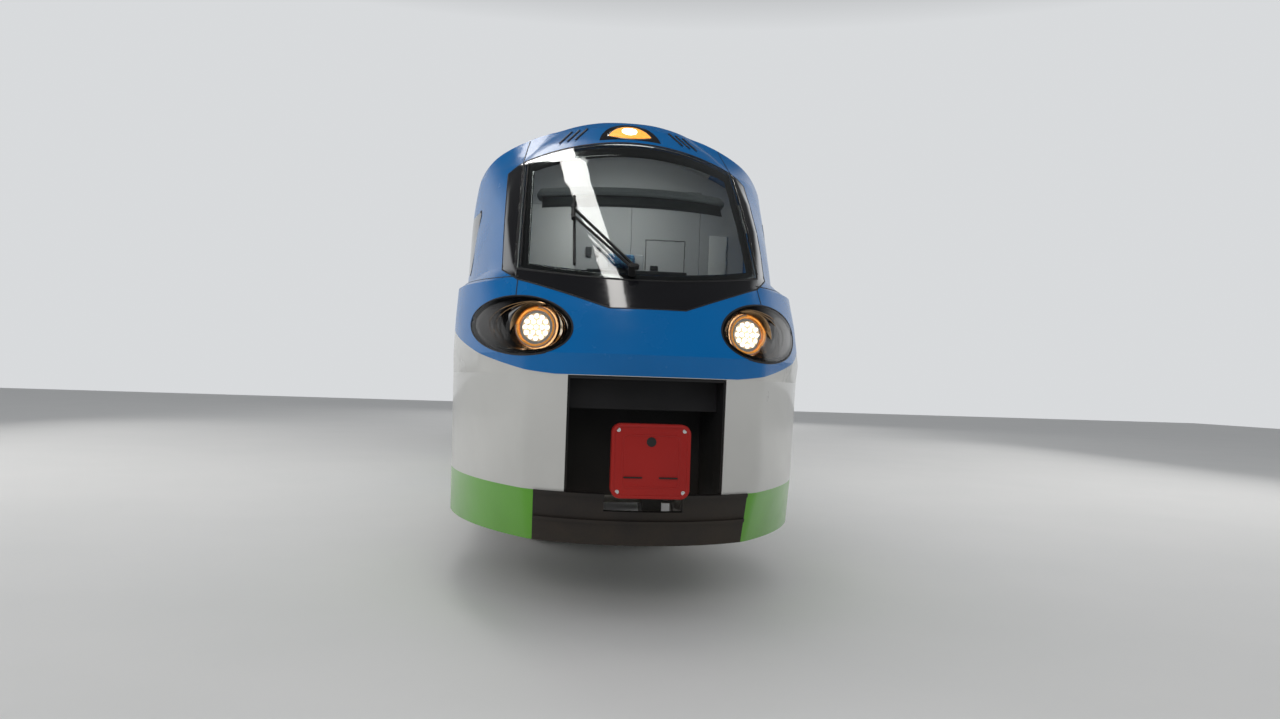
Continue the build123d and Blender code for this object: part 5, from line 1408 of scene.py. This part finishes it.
# %% Blow up a pad
def puffed(low, high, voxel, cap, rests):
    """Mesh of a pad between two corners, blown up as cloth; rests tells which points stay where they are."""
    bm = bmesh.new()
    block(bm, low, high, 0.4 * min(b - a for a, b in zip(low, high)), 4)
    mesh = bpy.data.meshes.new("pad")
    bm.to_mesh(mesh)
    bm.free()
    pad = linked("pad", mesh)
    even = pad.modifiers.new("even", "REMESH")
    even.mode = "VOXEL"
    even.voxel_size = voxel
    pad.data = bpy.data.meshes.new_from_object(pad.evaluated_get(bpy.context.evaluated_depsgraph_get()))
    pad.modifiers.clear()
    pinned = pad.vertex_groups.new(name="pinned")
    pinned.add([vertex.index for vertex in pad.data.vertices if rests(vertex.co)], 1.0, "REPLACE")
    cloth = pad.modifiers.new("cloth", "CLOTH")
    cloth.settings.vertex_group_mass = "pinned"
    cloth.settings.use_pressure = True
    cloth.settings.uniform_pressure_force = PAD_PRESSURE
    cloth.settings.effector_weights.gravity = 0.0
    cloth.collision_settings.use_collision = False
    cloth.point_cache.frame_end = PAD_FRAMES
    for number in range(1, PAD_FRAMES + 1):
        scene.frame_set(number)
    blown = pad.evaluated_get(bpy.context.evaluated_depsgraph_get()).data
    shifts = [there.co - here.co for here, there in zip(pad.data.vertices, blown.vertices)]
    for vertex, shift in zip(pad.data.vertices, shifts):
        vertex.co += shift * min(1.0, cap / max(shift.length, 1e-9))
    print("pad of", len(shifts), "points moved up to", round(max(shift.length for shift in shifts), 4))
    scene.frame_set(1)
    mesh = pad.data.copy()
    bpy.data.objects.remove(pad)
    return mesh


def channel(mesh, axis, lines, depth, width, front):
    """Press sewn channels into a pad: straight lines at given places along an axis, only where front holds."""
    for vertex in mesh.vertices:
        if front(vertex.co):
            gap = min(abs(vertex.co[axis] - line) for line in lines)
            if gap < width:
                vertex.co -= vertex.normal * depth * 0.5 * (1 + cos(pi * gap / width))


def padded(name, mesh, replaced):
    """Padded piece from a finished mesh, with one subdivision."""
    mesh.name = name
    mesh.shade_smooth()
    obj = linked(name, mesh)
    obj.modifiers.new("fine", "SUBSURF").levels = 1
    obj.modifiers["fine"].render_levels = 1
    give(obj, "seat cloth")
    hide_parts(replaced)
    return obj


def tilted(mesh, pivot, angle):
    mesh.transform(Matrix.Translation(pivot) @ Matrix.Rotation(angle, 4,
                                                               "X") @ Matrix.Translation(-Vector(pivot)))
    return mesh


PAD_FRAMES = 20
PAD_PRESSURE = 4.0

# %% Driver's seat
SEAT_Z = RAIL + 1.880
BACK_PIVOT = (0.0, NOSE_Y + 2.680, RAIL + 2.000)
BACK_LEAN = -radians(6.1)
mesh = puffed((-0.235, NOSE_Y + 2.215, SEAT_Z + 0.024), (0.235, NOSE_Y + 2.640, SEAT_Z + 0.104), 0.010,
              0.014,
              lambda spot: spot.z < SEAT_Z + 0.030)
channel(mesh, 0, (-0.145, 0.145), 0.008, 0.016, lambda spot: spot.z > SEAT_Z + 0.06)
padded("driver_cushion", mesh, "driver_seat")
BACK_PADS = (("driver_back", 0.200, 0.030, 0.560, (2.12, 2.24, 2.36, 2.48)),
             ("driver_headrest", 0.130, 0.600, 0.735, ()))
for name, half_x, foot, head, lines in BACK_PADS:
    mesh = puffed((-half_x, NOSE_Y + 2.640, RAIL + 2.0 + foot),
                  (half_x, NOSE_Y + 2.702, RAIL + 2.0 + head), 0.010, 0.012,
                  lambda spot: spot.y > NOSE_Y + 2.697)
    if lines:
        channel(mesh, 2, [RAIL + z for z in lines], 0.007, 0.016, lambda spot: spot.y < NOSE_Y + 2.660)
    padded(name, tilted(mesh, BACK_PIVOT, BACK_LEAN), "driver_seat")
bm = bmesh.new()
lean = Matrix.Translation(BACK_PIVOT) @ Matrix.Rotation(BACK_LEAN, 4,
                                                        "X") @ Matrix.Translation(-Vector(BACK_PIVOT))
block(bm, (-0.240, NOSE_Y + 2.210, SEAT_Z + 0.001), (0.240, NOSE_Y + 2.690, SEAT_Z + 0.022), 0.009, 3)
block(bm, (-0.215, NOSE_Y + 2.704, RAIL + 2.010), (0.215, NOSE_Y + 2.726, RAIL + 2.745), 0.010, 3, lean)
for side in (-1, 1):
    x0, x1 = sorted((side * 0.212, side * 0.246))
    block(bm, (x0, NOSE_Y + 2.400, RAIL + 2.165), (x1, NOSE_Y + 2.715, RAIL + 2.195), 0.012, 3)
    block(bm, (x0, NOSE_Y + 2.640, SEAT_Z + 0.010), (x1, NOSE_Y + 2.722, RAIL + 2.300), 0.008, 2, lean)
driver_shell = piece("driver_seat_shell", bm, "seat shell grey")
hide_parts("driver_seat")

# %% Saloon seats
# place of the seat back behind the nose tip, floor height, direction that the back faces away from
SEAT_ROWS = ((4.300, 1.150, -1), (6.050, 1.150, 1), (8.950, 0.620, -1), (10.720, 0.620, 1),
             (10.840, 0.620, -1),
             (12.610, 0.620, 1), (15.500, 1.150, -1), (17.200, 1.150, 1), (17.320, 1.150, -1),
             (19.050, 1.150, 1))
SEAT_X = 0.840
PLACE_X = 0.213
doubles = [(Vector((side * SEAT_X, NOSE_Y + y, RAIL + level)), (0, 0, 1), (-face, 0, 0))
           for y, level, face in SEAT_ROWS for side in SIDES]
places = [(spot + Vector((shift, 0, 0)), up, heading) for spot, up, heading in doubles
          for shift in (-PLACE_X, PLACE_X)]

# name, low corner, high corner, cap, axis and height of the side that rests, finish
SALOON_PADS = (
    ("seat_cushions", (-0.190, 0.122, 0.398), (0.190, 0.462, 0.442), 0.010, 2, 0.404, "seat cloth"),
    ("seat_backs", (-0.185, 0.036, 0.480), (0.185, 0.084, 0.985), 0.009, 1, 0.042, "seat cloth"),
    ("seat_headrests", (-0.150, 0.036, 1.010), (0.150, 0.078, 1.160), 0.008, 1, 0.042, "headrest cloth"),
)
for name, low, high, cap, axis, rest_at, finish in SALOON_PADS:
    mesh = puffed(low, high, 0.016, cap, lambda spot: spot[axis] < rest_at)
    bm = bmesh.new()
    bm.from_mesh(mesh)
    pads = copies(name, bm, places, finish, crease=180)
    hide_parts("seats")

bm = bmesh.new()
profile = ((0.003, 0.374), (0.462, 0.374), (0.468, 0.392), (0.075, 0.394), (0.040, 0.470), (0.032, 1.100),
           (0.030, 1.190),
           (0.012, 1.196), (0.003, 1.100))
shell_edges = [bm.verts.new((-0.440, d, h)) for d, h in profile]
grown = bmesh.ops.extrude_face_region(bm, geom=[bm.faces.new(shell_edges)])["geom"]
bmesh.ops.translate(bm, verts=[item for item in grown if isinstance(item, bmesh.types.BMVert)],
                    vec=(0.880, 0, 0))
bmesh.ops.bevel(bm, geom=list(bm.edges), offset=0.004, segments=2, affect="EDGES")
for x in (-0.434, 0.0, 0.434):
    block(bm, (x - 0.012, 0.095 if x == 0 else 0.020, 0.612), (x + 0.012, 0.350, 0.640), 0.010, 3)
    if x:
        block(bm, (x - 0.010, 0.020, 0.470), (x + 0.010, 0.098, 1.000), 0.008, 2)
shells = copies("seat_shells", bm, doubles, "seat shell grey")
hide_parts("seats")
# %% [markdown]
# ## Running gear
#
# Cap screws hold the axle boxes' covers, and bolts hold the wheels' discs. They sit where rays find the
# metal. The trailing bogie has brake calipers over its discs, and pipes blow sand in front of the leading
# wheels.

# %% Bolts of the wheels and the axle boxes
AXLES = (("front", 1, 3.450), ("front", 2, 5.950), ("rear", 1, 15.550), ("rear", 2, 18.050))
AXLE_Z = RAIL + 0.425
HALF_BASE = 1.250


def bolt_circle(tree, y, z, radius, count, side):
    """Places for bolts on a circle, where rays from the side find the metal."""
    spots = []
    for i in range(count):
        angle = 2 * pi * (i + 0.5) / count
        start = (side * FAR, y + radius * cos(angle), z + radius * sin(angle))
        place, out = hit(tree, start, (-side, 0, 0))
        spots.append((place, Vector((side, 0, 0)), (0, 1, 0)))
    return spots


for end, number, y in AXLES:
    wheels = skin_tree(f"wheelset_{end}_{number}")
    spots = [spot for side in SIDES for spot in bolt_circle(wheels, NOSE_Y + y, AXLE_Z, 0.190, 12, side)]
    copies(f"wheel_bolts_{end}_{number}", bolt_head(0.012, 0.012), spots, "bright trim",
           f"wheelset_{end}_{number}")
for end in ("front", "rear"):
    boxes = skin_tree(f"axle_boxes_{end}")
    spots = [spot for side in SIDES for name, number, y in AXLES if name == end
             for spot in bolt_circle(boxes, NOSE_Y + y, AXLE_Z, 0.082, 6, side)]
    copies(f"box_bolts_{end}", bolt_head(0.010, 0.010), spots, "bright trim", f"bogie_{end}")

# %% End caps, brake calipers and sand pipes
BOGIE_CENTRES = {"front": NOSE_Y + 4.700, "rear": NOSE_Y + 16.800}
for end, centre in BOGIE_CENTRES.items():
    bm = bmesh.new()
    for side in SIDES:
        for way in (-1, 1):
            y = centre + way * HALF_BASE
            x = side * 1.128
            turned(bm, [(0.036, -0.006), (0.036, 0.016), (0.026, 0.022), (0, 0.022)],
                   (x - side * 0.002, y, AXLE_Z),
                   (side, 0, 0), 24)
    piece(f"axle_end_caps_{end}", bm, "gasket rubber", f"bogie_{end}")
bm = bmesh.new()
centre = BOGIE_CENTRES["rear"]
for side in SIDES:
    for way in (-1, 1):
        for x in (0.287, 0.368):
            arm = [(side * x, centre + way * 0.385, AXLE_Z + 0.14),
                   (side * x, centre + way * 0.70, AXLE_Z + 0.13),
                   (side * x, centre + way * 0.99, AXLE_Z + 0.07)]
            tube(bm, arm, 0.019, 12)
            x0, x1 = sorted((side * (x - 0.009), side * (x + 0.009)))
            y0, y1 = sorted((centre + way * 0.955, centre + way * 1.085))
            block(bm, (x0, y0, AXLE_Z - 0.06), (x1, y1, AXLE_Z + 0.16), 0.005)
        x0, x1 = sorted((side * 0.262, side * 0.393))
        y0, y1 = sorted((centre + way * 0.470, centre + way * 0.640))
        block(bm, (x0, y0, AXLE_Z + 0.075), (x1, y1, AXLE_Z + 0.195), 0.020, 3)
piece("brake_calipers", bm, "bogie grey", "bogie_rear")
bm = bmesh.new()
centre = BOGIE_CENTRES["front"]
for side in SIDES:
    for way in (-1, 1):
        y = centre + way * HALF_BASE
        tube(bm, [(side * 0.93, y + way * 0.14, RAIL + 0.50), (side * 0.80, y + way * 0.34, RAIL + 0.50),
                  (side * 0.745, y + way * 0.50, RAIL + 0.36),
                  (side * 0.735, y + way * 0.47, RAIL + 0.12)], 0.017, 10)
piece("sand_pipes", bm, "frame black", "bogie_front")

# %% [markdown]
# ## Saloon fittings
#
# Light strips run along the ceiling, and each pole has a flange at the floor and at the ceiling.

# %% Light strips and flanges
bm = bmesh.new()
for side in SIDES:
    x = side * 0.56
    for y0, y1 in ((3.75, 7.30), (7.50, 8.70), (8.90, 12.60), (12.80, 14.00), (14.20, 17.10),
                   (17.30, 20.10)):
        block(bm, (x - 0.06, NOSE_Y + y0, RAIL + 3.545), (x + 0.06, NOSE_Y + y1, RAIL + 3.561), 0.006)
piece("ceiling_lights", bm, "cabin light")
flanges = []
for centre in DOORS:
    for side in SIDES:
        for shift in (-DOOR_HALF - 0.120, DOOR_HALF + 0.120):
            y = NOSE_Y + centre + shift
            flanges.append(((side * 0.42, y, DOOR_SILL), UP, ACROSS))
            flanges.append(((side * 0.42, y, RAIL + 3.560), (0, 0, -1), (1, 0, 0)))
bm = bmesh.new()
turned(bm, [(0.020, 0.014), (0.030, 0.012), (0.046, 0.003), (0.046, -0.001)], ORIGIN, UP, 28)
copies("pole_flanges", bm, flanges, "pole steel")

# %% [markdown]
# ## Roof
#
# Fans with round grilles sit in the air conditioning unit, the boxes have lids with screws, and ribs
# stiffen the roof's skin between them.

# %% Grilles, lids and ribs
CROWN = cad_high.z - 0.360
FANS = tuple(NOSE_Y + 5.2 + share * 3.0 for share in (0.3, 0.7))
bm = bmesh.new()
hubs = bmesh.new()
for y in FANS:
    for radius in (0.315, 0.26, 0.205, 0.15, 0.095):
        circle = [(Vector((radius * cos(2 * pi * i / 40), y + radius * sin(2 * pi * i / 40),
                           cad_high.z - 0.006)),
                   Vector((0, 0, 1))) for i in range(40)]
        sweep(bm, circle, round_section(0.004, 6), closed=True)
    for i in range(6):
        a = pi * i / 6
        tube(bm, [(0.325 * cos(a), y + 0.325 * sin(a), cad_high.z - 0.012),
                  (-0.325 * cos(a), y - 0.325 * sin(a), cad_high.z - 0.012)], 0.005, 6)
    turned(hubs, [(0.055, -0.035), (0.055, 0.0), (0.045, 0.010), (0, 0.012)], (0, y, cad_high.z - 0.026),
           (0, 0, 1), 28)
piece("fan_grilles", bm, "frame black")
piece("fan_hubs", hubs, "roof grey")
bm = bmesh.new()
for y0, y1, top in ((5.2, 8.2, 0.360), (9.2, 12.4, 0.330), (13.2, 16.0, 0.330)):
    count = round((y1 - y0) / 0.8)
    for i in range(1, count):
        y = NOSE_Y + y0 + (y1 - y0) * i / count
        if top < 0.35 or all(abs(y - fan) > 0.4 for fan in FANS):
            block(bm, (-0.66, y - 0.012, CROWN + top - 0.004), (0.66, y + 0.012, CROWN + top), 0.002, 1)
    for side in SIDES:
        x0, x1 = sorted((side * 0.676, side * 0.690))
        block(bm, (x0, NOSE_Y + y0 + 0.10, CROWN + top - 0.006), (x1, NOSE_Y + y1 - 0.10, CROWN + top),
              0.002, 1)
piece("roof_lids", bm, "frame black")
screws = []
for y0, y1, top in ((9.2, 12.4, 0.330), (13.2, 16.0, 0.330)):
    for y in steps(NOSE_Y + y0 + 0.16, NOSE_Y + y1 - 0.16, 0.3):
        screws += [((side * 0.655, y, CROWN + top - 0.001), UP, ACROSS) for side in SIDES]
copies("roof_screws", bolt_head(0.008, 0.006), screws, "bright trim")
bm = bmesh.new()
for y in (8.55, 8.85, 12.65, 12.95, 16.4, 17.2, 18.0, 18.8, 19.6):
    sweep(bm, [on_top(x, NOSE_Y + y) for x in steps(-0.88, 0.88, 0.11)], bead(0.040, 0.010))
piece("roof_ribs", bm, "roof grey")
bm = bmesh.new()
slats = [((side * 0.981, NOSE_Y + y, CROWN + 0.06), (side, 0, 0), (0, 1, 0)) for side in SIDES
         for y in steps(5.6, 18.3, 0.10)]
block(bm, (-0.012, -0.075, -0.002), (0.012, 0.075, 0.003), 0.002, 1)
copies("fairing_slots", bm, slats, "frame black")

# %% [markdown]
# ## Rear end
#
# The next car would stand here. The bellows are soft: folds of coated cloth between two metal frames, which
# replace the plain solid. A handrail and a lamp on each side finish the wall.

# %% Bellows
GANGWAY_HALF, GANGWAY_FOOT, GANGWAY_HEAD = 0.650, RAIL + 1.150, RAIL + 3.250
REAR = cad_high.y - 0.250
FOLDS = 5
bm = bmesh.new()
rows = []
for i in range(FOLDS * 8 + 1):
    share = i / (FOLDS * 8)
    swell = 0.055 * abs(sin(pi * FOLDS * share)) ** 0.7
    half_x = GANGWAY_HALF + 0.035 + swell
    half_z = (GANGWAY_HEAD - GANGWAY_FOOT) / 2 + 0.035 + swell
    y = REAR + 0.018 + share * (0.250 - 0.036)
    middle = (GANGWAY_HEAD + GANGWAY_FOOT) / 2
    rows.append([Vector((x, y, middle + z)) for x, z in rounded_frame(half_x, half_z, 0.12, 8)])
sheet_rows(bm, rows, closed=True)
cloth_area = sum(face.calc_area() for face in bm.faces)
bellows = piece("bellows", bm, "bellows cloth", wall=-0.004, crease=60)
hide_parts("gangway_bellows")
bm = bmesh.new()
for y in (REAR + 0.009, REAR + 0.241):
    middle = Vector((0, y, (GANGWAY_HEAD + GANGWAY_FOOT) / 2))
    ring = [(middle + Vector((x, 0, z)), Vector((x, 0, z)).normalized())
            for x,
            z in rounded_frame(GANGWAY_HALF + 0.060, (GANGWAY_HEAD - GANGWAY_FOOT) / 2 + 0.060, 0.12, 8)]
    sweep(bm, ring, [(-0.009, -0.05), (-0.009, 0.045), (0.009, 0.045), (0.009, -0.05)], closed=True)
piece("bellows_frames", bm, "frame black")
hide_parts("gangway_bellows")

# %% Rear wall fittings
bm = bmesh.new()
for side in SIDES:
    x = side * 0.98
    tube(bm,
         [(x, REAR - 0.002, RAIL + 1.35), (x, REAR + 0.055, RAIL + 1.37), (x, REAR + 0.055, RAIL + 2.20),
              (x, REAR - 0.002, RAIL + 2.22)], 0.014)
piece("rear_handrails", bm, "bright trim")
bm, lenses = bmesh.new(), bmesh.new()
for side in SIDES:
    place = (side * 1.02, REAR, RAIL + 2.62)
    turned(bm, [(0.062, -0.004), (0.062, 0.016), (0.052, 0.020), (0.050, 0.010)], place, (0, 1, 0), 36)
    turned(lenses, [(0.049, 0.004), (0.044, 0.014), (0.020, 0.020), (0, 0.021)], place, (0, 1, 0), 36)
piece("rear_lamp_rims", bm, "frame black")
piece("rear_lamp_lenses", lenses, "cover red")

# %% [markdown]
# ## Studio
#
# The car stands on a plain pale floor. Long soft lamps above it give the gloss paint long clean highlights,
# as the ceiling strips of a workshop do. The backdrop is pale only to the camera, to mirrors and through
# glass, so it doesn't flood the car with light. It gets dark overhead, which keeps the gloss black of the
# mask deep, and the broad lamps that fill the shadows don't show in mirrors.

# %% Floor, backdrop light and lamps
FLOOR_SIZE = 90.0
WORLD_LIGHT = 0.42
BACKDROP = 0.74
CEILING = 0.06

floor_mesh = bpy.data.meshes.new("floor")
half = FLOOR_SIZE / 2
floor_mesh.from_pydata([(-half, -half, 0), (half, -half, 0), (half, half, 0), (-half, half, 0)], [],
                       [(0, 1, 2, 3)])
floor = linked("floor", floor_mesh)
floor_material = bpy.data.materials.new("studio floor")
floor_material.use_nodes = True
floor_tree = floor_material.node_tree
floor_place = add(floor_tree, "ShaderNodeTexCoord").outputs["Object"]
floor_tone = mix(floor_tree, noise(floor_tree, floor_place, 0.6, 4.0), rgb(0.66, 0.67, 0.67),
                 rgb(0.72, 0.72, 0.72))
floor_tree.links.new(floor_tone, floor_tree.nodes["Principled BSDF"].inputs["Base Color"])
floor_tree.nodes["Principled BSDF"].inputs["Roughness"].default_value = 0.55
floor_mesh.materials.append(floor_material)
floor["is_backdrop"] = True

world = bpy.data.worlds.new("studio")
world.use_nodes = True
scene.world = world
sky = world.node_tree
path = add(sky, "ShaderNodeLightPath").outputs
seen = math(sky, "MAXIMUM", path["Is Camera Ray"], path["Is Transmission Ray"])
seen = math(sky, "MAXIMUM", seen, path["Is Glossy Ray"])
rise = add(sky, "ShaderNodeSeparateXYZ",
           {0: add(sky, "ShaderNodeTexCoord").outputs["Generated"]}).outputs["Z"]
backdrop = ramp(sky, rise, 0.36, 0.50, BACKDROP, CEILING)
strength = math(sky, "MULTIPLY_ADD", seen, math(sky, "SUBTRACT", backdrop, WORLD_LIGHT), WORLD_LIGHT)
shell = sky.nodes["Background"]
shell.inputs["Color"].default_value = rgb(0.93, 0.95, 0.97)
sky.links.new(strength, shell.inputs["Strength"])


def lamp(name, place, aim, size, power, glints=False, colour=(1.0, 0.98, 0.95)):
    data = bpy.data.lights.new(name, "AREA")
    data.shape = "RECTANGLE"
    data.size, data.size_y = size
    data.energy = power
    data.color = colour
    obj = bpy.data.objects.new(name, data)
    obj.location = place
    obj.rotation_mode = "QUATERNION"
    obj.rotation_quaternion = (Vector(aim) - Vector(place)).to_track_quat("-Z", "Y")
    obj.visible_glossy = obj.visible_transmission = glints
    scene.collection.objects.link(obj)


for side in (-1, 1):
    lamp(f"ceiling strip {side}", (side * 3.4, -2, 10.0), (side * 0.8, -2, 2.0), (0.5, 24), 240)
    lamp(f"side wash {side}", (side * 13, 0, 6.0), (0, 0, 1.5), (24, 7), 700)
lamp("skylight", (-1.9, -5.5, 10.0), (-1.2, -7.5, 2.0), (0.9, 9), 150, glints=True)
lamp("cab light", (0, -7.75, 3.36), (0, -6.9, 2.2), (0.9, 0.3), 11)
lamp("saloon light", (0, 3.0, 3.45), (0, 3.0, 1.0), (0.5, 14), 90)
lamp("front fill", (-5.0, -25, 8.0), (0, -9, 1.5), (14, 6), 620)
lamp("rear fill", (5.0, 25, 8.0), (0, 9, 1.5), (14, 6), 620)
print("lamps:", len(bpy.data.lights))

# %% [markdown]
# ## Last check
#
# The dressed model's box is compared with the solid one's, and its growth on each side is printed.

# %% Write the sizes and finish
low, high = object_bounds()
print("box grew by", [round(v, 4) for v in (*(cad_low - low), *(high - cad_high))])
